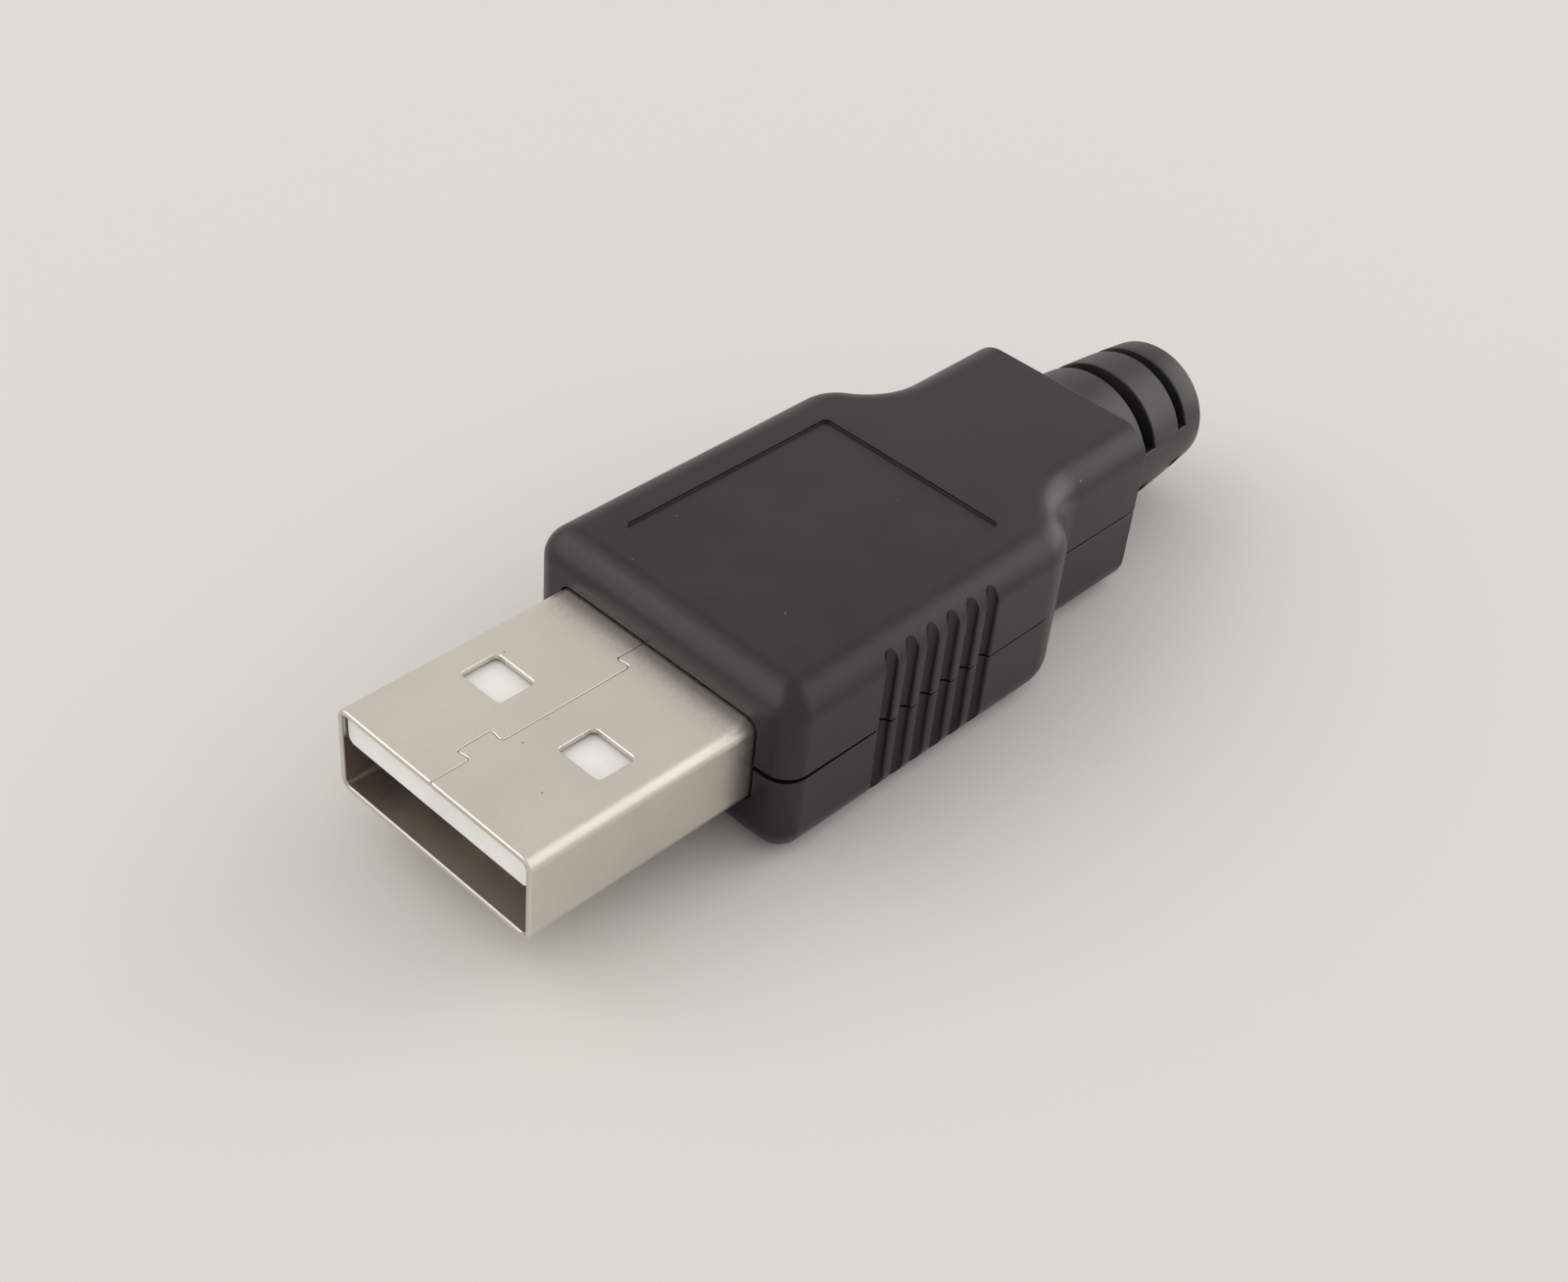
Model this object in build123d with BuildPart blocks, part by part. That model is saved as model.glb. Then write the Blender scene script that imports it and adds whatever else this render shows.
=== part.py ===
from build123d import *
from math import acos, cos, degrees, radians, sin, tan
import os

# A four-contact cable plug of the kind that is soldered to its own cable and then closed in a
# snap-together cover. Millimetres. The mating end points along +X, the plug lies on its underside at
# Z = 0, and the origin is under the middle of the whole plug.

os.makedirs("parts", exist_ok=True)

# Folded metal shell
shell_width = 12.0
shell_height = 4.5
shell_wall = 0.3
shell_corner = 0.6
shell_length = 18.75
exposed_length = 12.2
rim_bevel = 0.08

# Two windows in each broad face of the shell, measured from the rim
window_setback = 5.05
window_length = 2.0
window_width = 2.48
window_spacing = 6.1
window_corner = 0.25

# Interlocked seam along the top of the shell
seam_gap = 0.04
seam_tab_count = 2
seam_tab_setback = 2.05
seam_tab_spacing = 8.7
seam_tab_length = 1.6
seam_tab_depth = 0.76
seam_tab_flare = 0.12
seam_bend = 0.18

# Ears folded out at the shell's back end, which the cover holds
ear_height = 2.6
ear_reach = 0.85
ear_bend = 0.15
ear_root = 1.0
ear_relief = 0.2

# White core
core_gap = 0.08
tongue_setback = 0.25
tongue_thickness = 1.45
tongue_corner = 0.4
mouth_depth = 9.9
core_flange_inset = 0.15
core_flange_length = 0.8
ledge_inset = 1.0
ledge_length = 3.0

# Contacts
contact_width = 1.0
contact_thickness = 0.3
contact_bedding = 0.15
contact_slip = 0.03
inner_contact_spacing = 2.0
outer_contact_spacing = 7.0
power_setback = 1.6
data_setback = 2.6
nose_length = 0.55
nose_rise = 0.3
wide_part_width = 1.3
wide_part_lead = 2.75
cup_radius = 0.6
cup_stand_off = 0.35
cup_length = 2.4

# Cover, measured as room and walls round the shell, a body, and a narrower neck behind it
side_room = 0.6
height_room = 1.15
cover_wall = 1.4
cover_roof = 1.2
shell_lift = 0.2
body_length = 17.0
shoulder_round = 2.8
waist_round = 3.6
neck_step = 2.5
neck_length = 5.23
edge_round = 1.5
corner_extra = 0.05
fit_gap = 0.08
mouth_gape = 0.22
gape_length = 9.0

# Grip grooves down each side
groove_count = 6
groove_spacing = 1.32
groove_radius = 0.5
groove_stand_off = 0.05
groove_setback = 6.16

# Sunk field for a label on the upper half
label_setback = 3.0
label_rear_margin = 0.95
label_side_margin = 2.6
label_corner = 0.5
label_depth = 0.3

# Ribs, lip and snap hooks inside the cover
lip_thickness = 0.5
lip_height = 0.6
shell_rib = 0.8
shell_rib_setback = 2.6
clamp_rib = 0.8
clamp_spacing = 2.0
clamp_count = 2
hook_count = 2
hook_width = 1.6
hook_spacing = 3.0
hook_thickness = 0.7
hook_height = 1.9
hook_barb = 0.3
hook_barb_height = 0.8
hook_clearance = 0.3

# Cable tail, with its slots as shares of its reach behind the cover
cable_bore_radius = 2.0
tail_reach = 8.5
tail_root_radius = 4.14
tail_tip_radius = 3.36
tail_rim_round = 0.3
throat_wall = 0.8
tail_flange_length = 1.2
tail_flange_round = 1.0
slot_place_shares = (0.338, 0.718)
slot_length_shares = (0.11, 0.079)
slot_floor_wall = 0.65
slot_web_angle = 32.0

# Cuts run past the faces that they open by this much
overrun = 0.5

# Sizes of the cover that follow from the ones above
cover_width = shell_width + 2 * (side_room + cover_wall)
cover_height = shell_height + 2 * (height_room + cover_roof)
neck_width = cover_width - 2 * neck_step
shoulder_sweep = degrees(acos(1 - neck_step / (shoulder_round + waist_round)))
shoulder_run = (shoulder_round + waist_round) * sin(radians(shoulder_sweep))
cover_length = body_length + shoulder_run + neck_length

# Stations along X and heights
overall_length = exposed_length + cover_length + tail_reach
tip_x = overall_length / 2
mouth_x = tip_x - exposed_length
shoulder_x = mouth_x - body_length
heel_x = mouth_x - cover_length
tail_end_x = heel_x - tail_reach
shell_back_x = tip_x - shell_length
parting_z = cover_height / 2
shell_z = parting_z + shell_lift
shell_inner_width = shell_width - 2 * shell_wall
shell_inner_height = shell_height - 2 * shell_wall
shell_inner_top_z = shell_z + shell_inner_height / 2


def section_at(x, y, z):
    """Cross-section plane of the plug at station x, facing the mating end."""
    return Plane(origin=(x, y, z), x_dir=(0, 1, 0), z_dir=(1, 0, 0))


# The shell is a tube folded from one sheet

with BuildPart() as plug_shell:
    with BuildSketch(section_at(shell_back_x, 0, shell_z)):
        RectangleRounded(shell_width, shell_height, shell_corner)
        RectangleRounded(
            shell_inner_width,
            shell_inner_height,
            shell_corner - shell_wall,
            mode=Mode.SUBTRACT,
        )
    extrude(amount=shell_length)
    rim = plug_shell.faces().sort_by(Axis.X)[-1]
    chamfer(rim.outer_wire().edges(), length=rim_bevel)

    # Windows go through both broad faces
    window_x = tip_x - window_setback - window_length / 2
    with BuildSketch(Plane.XY.offset(shell_z)):
        with Locations((window_x, 0)):
            with GridLocations(window_length, window_spacing, 1, 2):
                RectangleRounded(window_length, window_width, window_corner)
    extrude(amount=shell_height / 2 + overrun, both=True, mode=Mode.SUBTRACT)

    # The seam runs straight along the middle and steps round each interlocked tab
    seam_points = [(tip_x + overrun, 0)]
    for tab in range(seam_tab_count):
        neck_start_x = tip_x - seam_tab_setback - tab * seam_tab_spacing
        neck_end_x = neck_start_x - seam_tab_length
        seam_points.append((neck_start_x, 0))
        seam_points.append((neck_start_x + seam_tab_flare, -seam_tab_depth))
        seam_points.append((neck_end_x - seam_tab_flare, -seam_tab_depth))
        seam_points.append((neck_end_x, 0))
    seam_points.append((shell_back_x - overrun, 0))
    with BuildSketch(Plane.XY.offset(shell_inner_top_z - shell_wall)):
        with BuildLine():
            FilletPolyline(*seam_points, radius=seam_bend)
        trace(line_width=seam_gap)
    extrude(amount=2 * shell_wall + overrun, mode=Mode.SUBTRACT)

    # Each ear is freed by a relief cut, then folded out square
    ear_outer_y = shell_width / 2
    ear_inner_y = ear_outer_y - shell_wall
    ear_tip_y = ear_outer_y + ear_reach
    with BuildSketch(Plane.XY.offset(shell_z)):
        with Locations((shell_back_x + ear_root / 2, 0)):
            with GridLocations(ear_root, ear_outer_y + ear_inner_y, 1, 2):
                Rectangle(ear_root, shell_wall)
    extrude(amount=ear_height / 2 + ear_relief, both=True, mode=Mode.SUBTRACT)
    fold_x = shell_back_x + shell_wall / 2
    wall_middle_y = ear_inner_y + shell_wall / 2
    with BuildSketch(Plane.XY.offset(shell_z)):
        with BuildLine():
            FilletPolyline(
                (shell_back_x + ear_root, wall_middle_y),
                (fold_x, wall_middle_y),
                (fold_x, ear_tip_y),
                radius=ear_bend + shell_wall / 2,
            )
        trace(line_width=shell_wall)
        mirror(about=Plane.XZ)
    extrude(amount=ear_height / 2, both=True)

plug_shell.part.label = "plug_shell"
export_step(plug_shell.part, "parts/plug_shell.step")


# The core fills the shell behind the mouth, and its tongue lies under the shell's top wall

core_width = shell_inner_width - 2 * core_gap
core_height = shell_inner_height - 2 * core_gap
tongue_top_z = shell_inner_top_z - core_gap
tongue_bottom_z = tongue_top_z - tongue_thickness
tongue_front_x = tip_x - tongue_setback
block_front_x = tip_x - mouth_depth
flange_back_x = shell_back_x - core_flange_length
ledge_back_x = flange_back_x - ledge_length

# The strips bend at 45 degrees, so the upper bend stands behind the lower one by this much
bend_shift = contact_thickness * tan(radians(45 / 2))
contact_top_z = tongue_bottom_z + contact_bedding
contact_bottom_z = contact_top_z - contact_thickness
cup_center_z = contact_top_z - cup_radius
cup_front_x = flange_back_x - cup_stand_off
cup_back_x = cup_front_x - cup_length
wide_part_x = shell_back_x + wide_part_lead

# Name, place across the tongue and setback of each contact; the first one is at -Y
contact_rows = (
    ("contact_vbus", -outer_contact_spacing / 2, power_setback),
    ("contact_data_minus", -inner_contact_spacing / 2, data_setback),
    ("contact_data_plus", inner_contact_spacing / 2, data_setback),
    ("contact_ground", outer_contact_spacing / 2, power_setback),
)

with BuildPart() as insulator:
    with BuildSketch(section_at(shell_back_x, 0, shell_z)):
        RectangleRounded(core_width, core_height, shell_corner - shell_wall)
    extrude(amount=block_front_x - shell_back_x)
    with BuildSketch(section_at(block_front_x, 0, tongue_bottom_z)) as tongue_face:
        Rectangle(core_width, tongue_thickness, align=(Align.CENTER, Align.MIN))
        fillet(tongue_face.vertices().group_by(Axis.Y)[0], tongue_corner)
        fillet(tongue_face.vertices().group_by(Axis.Y)[-1], shell_corner - shell_wall)
    extrude(amount=tongue_front_x - block_front_x)

    # The flange behind the shell stops the core from passing through it
    with BuildSketch(section_at(flange_back_x, 0, shell_z)):
        RectangleRounded(
            shell_width - 2 * core_flange_inset,
            shell_height - 2 * core_flange_inset,
            shell_corner,
        )
    extrude(amount=core_flange_length)

    # The ledge behind it carries the solder cups from above
    with BuildSketch(section_at(ledge_back_x, 0, cup_center_z)):
        Rectangle(
            shell_width - 2 * ledge_inset,
            tongue_top_z - cup_center_z,
            align=(Align.CENTER, Align.MIN),
        )
    extrude(amount=ledge_length)

    # Each contact lies in its own channel, with a pocket for its nose and a round seat for its cup
    for name, contact_y, setback in contact_rows:
        contact_front_x = tip_x - setback
        pocket_length = nose_length + nose_rise + bend_shift
        with BuildSketch(section_at(cup_front_x, contact_y, contact_bottom_z)):
            Rectangle(
                contact_width + 2 * contact_slip,
                contact_thickness,
                align=(Align.CENTER, Align.MIN),
            )
        extrude(amount=contact_front_x + contact_slip - cup_front_x, mode=Mode.SUBTRACT)
        with BuildSketch(section_at(cup_front_x, contact_y, contact_bottom_z)):
            Rectangle(
                wide_part_width + 2 * contact_slip,
                contact_thickness,
                align=(Align.CENTER, Align.MIN),
            )
        extrude(amount=wide_part_x + contact_slip - cup_front_x, mode=Mode.SUBTRACT)
        with BuildSketch(section_at(contact_front_x - pocket_length, contact_y, contact_bottom_z)):
            Rectangle(
                contact_width + 2 * contact_slip,
                contact_thickness + nose_rise + contact_slip,
                align=(Align.CENTER, Align.MIN),
            )
        extrude(amount=pocket_length + contact_slip, mode=Mode.SUBTRACT)
        with BuildSketch(section_at(ledge_back_x - overrun, contact_y, cup_center_z)):
            Circle(cup_radius + contact_slip)
        extrude(
            amount=cup_front_x + contact_slip - ledge_back_x + overrun,
            mode=Mode.SUBTRACT,
        )

insulator.part.label = "insulator"
export_step(insulator.part, "parts/insulator.step")


# Four stamped strips: a raised nose in front, a wider part behind and a half-round solder cup

for name, contact_y, setback in contact_rows:
    nose_front_x = tip_x - setback
    rise_end_x = nose_front_x - nose_length
    rise_start_x = rise_end_x - nose_rise
    with BuildPart() as contact:
        with BuildSketch(Plane.XZ.offset(-contact_y)):
            with BuildLine():
                Polyline(
                    (cup_front_x, contact_bottom_z),
                    (rise_start_x, contact_bottom_z),
                    (rise_end_x, contact_bottom_z + nose_rise),
                    (nose_front_x, contact_bottom_z + nose_rise),
                    (nose_front_x, contact_top_z + nose_rise),
                    (rise_end_x - bend_shift, contact_top_z + nose_rise),
                    (rise_start_x - bend_shift, contact_top_z),
                    (cup_front_x, contact_top_z),
                    close=True,
                )
            make_face()
        extrude(amount=contact_width / 2, both=True)
        with BuildSketch(section_at(cup_front_x, contact_y, contact_bottom_z)):
            Rectangle(wide_part_width, contact_thickness, align=(Align.CENTER, Align.MIN))
        extrude(amount=wide_part_x - cup_front_x)
        with BuildSketch(section_at(cup_back_x, contact_y, cup_center_z)):
            Circle(cup_radius)
            Circle(cup_radius - contact_thickness, mode=Mode.SUBTRACT)
            Rectangle(
                2 * cup_radius,
                cup_radius,
                align=(Align.CENTER, Align.MAX),
                mode=Mode.SUBTRACT,
            )
        extrude(amount=cup_length)
    contact.part.label = name
    export_step(contact.part, "parts/" + name + ".step")


# Plan of the cover: a straight-sided body that steps in to a neck through two tangent arcs

with BuildSketch() as cover_plan:
    with BuildLine():
        front_line = Line((mouth_x, 0), (mouth_x, cover_width / 2))
        side_line = Line(front_line @ 1, (shoulder_x, cover_width / 2))
        shoulder_arc = JernArc(side_line @ 1, side_line % 1, shoulder_round, shoulder_sweep)
        waist_arc = JernArc(shoulder_arc @ 1, shoulder_arc % 1, waist_round, -shoulder_sweep)
        neck_line = Line(waist_arc @ 1, (heel_x, neck_width / 2))
        Line(neck_line @ 1, (heel_x, 0))
        mirror(about=Plane.XZ)
    make_face()


def plan_inside(inset):
    """The cover's plan, drawn in by the given inset all round."""
    return offset(cover_plan.sketch, -inset, kind=Kind.INTERSECTION, mode=Mode.PRIVATE)


lip_inset = cover_wall - lip_thickness
cavity_half_width = cover_width / 2 - cover_wall
cavity_half_height = cover_height / 2 - cover_roof
neck_cavity_width = neck_width - 2 * cover_wall
throat_radius = cable_bore_radius + throat_wall
groove_center_x = mouth_x - groove_setback - groove_spacing * (groove_count - 1) / 2
groove_center_y = cover_width / 2 + groove_stand_off
ear_pocket_x = shell_back_x + shell_wall / 2
ear_pocket_length = shell_wall + 2 * fit_gap

# Transverse ribs: one seats the shell, and the others clamp the cable in front of the tail's flange
shell_rib_x = mouth_x - shell_rib_setback - shell_rib / 2
heel_wall_x = heel_x + cover_wall
tail_flange_back_x = heel_wall_x + fit_gap
tail_flange_front_x = tail_flange_back_x + tail_flange_length
first_clamp_x = tail_flange_front_x + fit_gap + clamp_rib / 2
last_clamp_x = first_clamp_x + (clamp_count - 1) * clamp_spacing
rib_places = [(shell_rib_x, 2 * cavity_half_width, shell_rib)]
for clamp in range(clamp_count):
    rib_places.append((first_clamp_x + clamp * clamp_spacing, neck_cavity_width, clamp_rib))

# Snap hooks stand behind the core's flange, close inside the side walls
hook_row_x = flange_back_x - hook_clearance - hook_width / 2 - hook_spacing * (hook_count - 1) / 2
hook_outer_y = cavity_half_width - fit_gap
hook_top_z = parting_z + hook_height
barb_bottom_z = hook_top_z - hook_barb_height


def make_cover(side):
    """One half of the cover: side is 1 for the upper half and -1 for the lower one."""
    with BuildPart() as half:
        # Outer form, with the front corners and the long edges rounded
        with BuildSketch(Plane.XY.offset(parting_z)):
            add(cover_plan.sketch)
        extrude(amount=side * cover_height / 2)
        front_edges = half.edges().filter_by(Axis.Z).group_by(Axis.X)[-1]
        fillet(front_edges, edge_round + corner_extra)
        outer_face = half.faces().filter_by(Axis.Z).sort_by(Axis.Z)[-1 if side > 0 else 0]
        outer_edges = outer_face.edges().sort_by(Axis.X)
        fillet(outer_edges[1:], edge_round)

        # Hollow inside, with its ribs
        with BuildSketch(Plane.XY.offset(parting_z)):
            add(plan_inside(cover_wall))
        extrude(amount=side * cavity_half_height, mode=Mode.SUBTRACT)
        with BuildSketch(Plane.XY.offset(parting_z)):
            for rib_x, rib_span, rib_length in rib_places:
                with Locations((rib_x, 0)):
                    Rectangle(rib_length, rib_span)
        extrude(amount=side * cavity_half_height)

        # The shell passes through the front wall and its rib
        passage_back_x = shell_rib_x - shell_rib / 2 - overrun
        with BuildSketch(section_at(passage_back_x, 0, shell_z)):
            RectangleRounded(
                shell_width + 2 * fit_gap,
                shell_height + 2 * fit_gap,
                shell_corner + fit_gap,
            )
        extrude(amount=mouth_x - passage_back_x + overrun, mode=Mode.SUBTRACT)

        # Pockets in the side walls for the shell's ears
        with BuildSketch(Plane.XY.offset(shell_z)):
            with Locations((ear_pocket_x, 0)):
                Rectangle(ear_pocket_length, 2 * (ear_tip_y + fit_gap))
        extrude(amount=ear_height / 2 + fit_gap, both=True, mode=Mode.SUBTRACT)

        # The tail's throat passes through the heel wall, and the cable through the ribs
        with BuildSketch(section_at(heel_x - overrun, 0, parting_z)):
            Circle(throat_radius + fit_gap)
        extrude(amount=cover_wall + 2 * overrun, mode=Mode.SUBTRACT)
        with BuildSketch(section_at(heel_x, 0, parting_z)):
            Circle(cable_bore_radius)
        extrude(amount=last_clamp_x + clamp_rib - heel_x, mode=Mode.SUBTRACT)

        # Grip grooves are half-round flutes that run out in the rounded edges
        with Locations((groove_center_x, 0, parting_z + side * cover_height / 4)):
            with GridLocations(groove_spacing, 2 * groove_center_y, groove_count, 2):
                Cylinder(groove_radius, cover_height / 2 + overrun, mode=Mode.SUBTRACT)
    return half.part


with BuildPart() as cover_upper:
    add(make_cover(1))

    # Sunk label field
    label_length = body_length - label_setback - label_rear_margin
    label_width = cover_width - 2 * label_side_margin
    with BuildSketch(Plane.XY.offset(cover_height)):
        with Locations((mouth_x - label_setback - label_length / 2, 0)):
            RectangleRounded(label_length, label_width, label_corner)
    extrude(amount=-label_depth, mode=Mode.SUBTRACT)

    # Rebate for the lower half's lip
    with BuildSketch(Plane.XY.offset(parting_z)):
        add(plan_inside(lip_inset))
        add(plan_inside(cover_wall), mode=Mode.SUBTRACT)
    extrude(amount=lip_height + fit_gap, mode=Mode.SUBTRACT)

    # Undercuts that the snap hooks' barbs click into
    with BuildSketch(Plane.XY.offset(barb_bottom_z)):
        with Locations((hook_row_x, 0)):
            with GridLocations(hook_spacing, 2 * cavity_half_width, hook_count, 2):
                Rectangle(hook_width + 2 * fit_gap, 2 * (hook_barb + fit_gap))
    extrude(amount=hook_barb_height + fit_gap, mode=Mode.SUBTRACT)

    # The halves stand a hair apart at the mouth, where the shell holds them open
    with BuildSketch(Plane.XZ):
        with BuildLine():
            Polyline(
                (mouth_x + overrun, parting_z),
                (mouth_x + overrun, parting_z + mouth_gape),
                (mouth_x, parting_z + mouth_gape),
                (mouth_x - gape_length, parting_z),
                close=True,
            )
        make_face()
    extrude(amount=cover_width, both=True, mode=Mode.SUBTRACT)

with BuildPart() as cover_lower:
    add(make_cover(-1))

    # Lip inside the joint, open where the shell, its ears and the tail pass through
    with BuildSketch(Plane.XY.offset(parting_z)):
        add(plan_inside(lip_inset + fit_gap))
        add(plan_inside(cover_wall), mode=Mode.SUBTRACT)
        with Locations((mouth_x, 0), (heel_x, 0)):
            Rectangle(2 * (cover_wall + fit_gap), cover_width, mode=Mode.SUBTRACT)
        with Locations((ear_pocket_x, 0)):
            Rectangle(ear_pocket_length, cover_width, mode=Mode.SUBTRACT)
    extrude(amount=lip_height)

    # Snap hooks are rooted on the side walls below the joint and stand clear of them above it
    with BuildSketch(Plane.XY.offset(parting_z - cavity_half_height)):
        with Locations((hook_row_x, 0)):
            root_thickness = hook_thickness + fit_gap
            with GridLocations(hook_spacing, 2 * cavity_half_width - root_thickness, hook_count, 2):
                Rectangle(hook_width, root_thickness)
    extrude(amount=cavity_half_height)
    with BuildSketch(Plane.XY.offset(parting_z)):
        with Locations((hook_row_x, 0)):
            with GridLocations(hook_spacing, 2 * hook_outer_y - hook_thickness, hook_count, 2):
                Rectangle(hook_width, hook_thickness)
    extrude(amount=hook_height)
    for hook in range(hook_count):
        hook_back_x = hook_row_x + hook_spacing * (hook - (hook_count - 1) / 2) - hook_width / 2
        with BuildSketch(section_at(hook_back_x, 0, 0)):
            with BuildLine():
                Polyline(
                    (hook_outer_y, hook_top_z),
                    (hook_outer_y, barb_bottom_z + fit_gap),
                    (hook_outer_y + hook_barb, barb_bottom_z + fit_gap),
                    close=True,
                )
            make_face()
            mirror(about=Plane.YZ)
        extrude(amount=hook_width)

cover_upper.part.label = "cover_upper"
export_step(cover_upper.part, "parts/cover_upper.step")
cover_lower.part.label = "cover_lower"
export_step(cover_lower.part, "parts/cover_lower.step")


# The tail: a tapered sleeve, a throat held in the heel wall and a square flange inside it

tail_axis = Axis((0, 0, parting_z), (1, 0, 0))

with BuildPart() as cable_tail:
    sleeve_front_x = heel_x - fit_gap
    with BuildSketch(Plane.XZ) as sleeve_profile:
        with BuildLine():
            Polyline(
                (tail_end_x, parting_z),
                (tail_end_x, parting_z + tail_tip_radius),
                (sleeve_front_x, parting_z + tail_root_radius),
                (sleeve_front_x, parting_z + throat_radius),
                (tail_flange_back_x, parting_z + throat_radius),
                (tail_flange_back_x, parting_z),
                close=True,
            )
        make_face()
        rim_corner = sleeve_profile.vertices().group_by(Axis.X)[0].sort_by(Axis.Z)[-1]
        fillet(rim_corner, tail_rim_round)
    revolve(axis=tail_axis)
    with BuildSketch(section_at(tail_flange_back_x, 0, parting_z)):
        RectangleRounded(
            neck_cavity_width - 2 * fit_gap,
            2 * (cavity_half_height - fit_gap),
            tail_flange_round,
        )
    extrude(amount=tail_flange_length)

    # Cable bore, right through
    with BuildSketch(section_at(tail_end_x - overrun, 0, parting_z)):
        Circle(cable_bore_radius)
    extrude(amount=tail_flange_front_x - tail_end_x + 2 * overrun, mode=Mode.SUBTRACT)

    # Each ring of slots leaves two webs, one on each side
    half_web = radians(slot_web_angle / 2)
    for turn in (half_web, half_web + radians(180)):
        slot_plane = Plane(
            origin=(0, 0, parting_z),
            x_dir=(1, 0, 0),
            z_dir=(0, -sin(turn), cos(turn)),
        )
        with BuildSketch(slot_plane):
            for place_share, length_share in zip(slot_place_shares, slot_length_shares):
                slot_length = length_share * tail_reach
                slot_x = heel_x - place_share * tail_reach - slot_length / 2
                with Locations((slot_x, cable_bore_radius + slot_floor_wall)):
                    Rectangle(slot_length, tail_root_radius, align=(Align.CENTER, Align.MIN))
        revolve(axis=tail_axis, revolution_arc=180 - slot_web_angle, mode=Mode.SUBTRACT)

cable_tail.part.label = "cable_tail"
export_step(cable_tail.part, "parts/cable_tail.step")
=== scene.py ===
from math import acos, radians, sqrt

import bmesh
import bpy
import numpy as np
from bpy.props import FloatProperty, FloatVectorProperty, IntProperty, PointerProperty
from mathutils import Matrix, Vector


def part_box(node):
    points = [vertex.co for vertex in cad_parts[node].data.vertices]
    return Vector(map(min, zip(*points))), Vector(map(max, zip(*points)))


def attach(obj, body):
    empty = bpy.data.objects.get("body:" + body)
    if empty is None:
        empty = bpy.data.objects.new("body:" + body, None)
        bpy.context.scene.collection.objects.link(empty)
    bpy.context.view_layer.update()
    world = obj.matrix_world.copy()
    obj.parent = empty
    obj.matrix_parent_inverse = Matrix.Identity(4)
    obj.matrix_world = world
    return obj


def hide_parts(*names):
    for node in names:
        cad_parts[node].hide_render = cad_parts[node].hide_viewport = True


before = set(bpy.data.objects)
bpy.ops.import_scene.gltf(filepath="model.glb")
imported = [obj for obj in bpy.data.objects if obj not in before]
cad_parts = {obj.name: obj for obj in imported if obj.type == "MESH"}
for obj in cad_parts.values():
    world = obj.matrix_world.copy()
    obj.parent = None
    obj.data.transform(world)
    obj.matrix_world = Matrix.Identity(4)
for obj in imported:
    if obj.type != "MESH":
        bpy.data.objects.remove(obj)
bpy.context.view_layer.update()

# A solder-type cable plug: a folded metal shell with a white core, a two-part black cover and a
# slotted cable tail. The CAD model gives every place, and all lengths are metres.

bl_info = {
    "name": "Cable Plug Looks",
    "version": (1, 0, 0),
    "blender": (4, 5, 0),
    "location": "3D View > Sidebar > Plug",
    "description": "Adds the visible pieces of a solder-type cable plug round its CAD model",
    "category": "Object",
}

MM = 0.001
WELD = 0.0003 * MM  # Points that are closer than this become one
SUNK = 0.1 * MM  # How far the cover's inner blocks run into its walls
POCKET_SLACK = 0.15 * MM  # What a pocket may be longer by, as it ends at a station of the wall
BORE_HOLD = 0.2 * MM  # How far from the tail's end its bore has the last ring of its even part
FLOOR_DROP = 0.02 * MM  # How far the floor lies under the plug
BALL_SHARE = 0.05  # What the cover's front corners keep of their radius on the broad faces
SHADED_DEPTH_SHARE = 0.9  # A point deeper than this share of the sheet is inside the shell, where shade is painted
SHARP_ANGLE = 35.0  # Degrees between two faces from which their edge stays sharp
FACE_WEIGHT = 100  # How much larger faces rule the shading: 50 is neutral, 100 the most
SENSOR_WIDTH = 36.0  # Of the camera, in millimetres
NEAR_CLIP = 1.0 * MM  # Nearer than this the camera sees nothing

# Points along each kind of arc
ROLL_STEPS = 5
HEEL_STEPS = 6
CORNER_STEPS = 7
LIP_STEPS = 8
FOLD_STEPS = 9
FRONT_STEPS = 11
HOLLOW_STEPS = 12
EDGE_STEPS = 13
BEND_STEPS = 15
CLAMP_STEPS = 17
THROAT_STEPS = 25

# A rolled edge is a quarter circle. In radii, SHORT is how far each of its points is from the
# corner along the face that it leaves, and SINK how far it has sunk below that face.
ROLL = np.radians(np.linspace(0, 90, ROLL_STEPS))
SHORT, SINK = 1 - np.sin(ROLL), 1 - np.cos(ROLL)

# The tail's slots: each ring's place and length as shares of the tail's reach, the ring nearest
# the free end first. In degrees, half the web between two slots, how far the web's side runs out
# on its way down, and how far from the web the floor's next point is.
SLOT_PLACE_SHARES = (0.718, 0.338)
SLOT_LENGTH_SHARES = (0.079, 0.110)
HALF_WEB = 16.0
WEB_FALL = 0.02
WEB_STEPS = 5
SLOT_FLOOR_START = 2.0
SLOT_FLOOR_STEPS = 19
FLANGE_POWER = 8  # Of the superellipse that is the outline of the tail's flange

# Places that the CAD model gives
COVER_LOW, COVER_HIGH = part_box("cover_upper")
HEEL_X, MOUTH_X = COVER_LOW.x, COVER_HIGH.x
PARTING_Z, TOP_Z = COVER_LOW.z, COVER_HIGH.z
HALF_WIDTH = COVER_HIGH.y
HALF_HEIGHT = TOP_Z - PARTING_Z
SHELL_LOW, SHELL_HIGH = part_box("plug_shell")
SHELL_Z = (SHELL_LOW.z + SHELL_HIGH.z) / 2
TAIL_LOW, TAIL_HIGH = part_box("cable_tail")
CONTACTS = ("contact_vbus", "contact_data_minus", "contact_data_plus", "contact_ground")


def length_setting(name, description, default, least=0.0):
    """A size in metres that the panel shows."""
    return FloatProperty(
        name=name, description=description, default=default, min=least, unit="LENGTH",
        subtype="DISTANCE", precision=5,
    )


def count_setting(name, description, default):
    """A number of like features that the panel shows."""
    return IntProperty(name=name, description=description, default=default, min=0)


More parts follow.
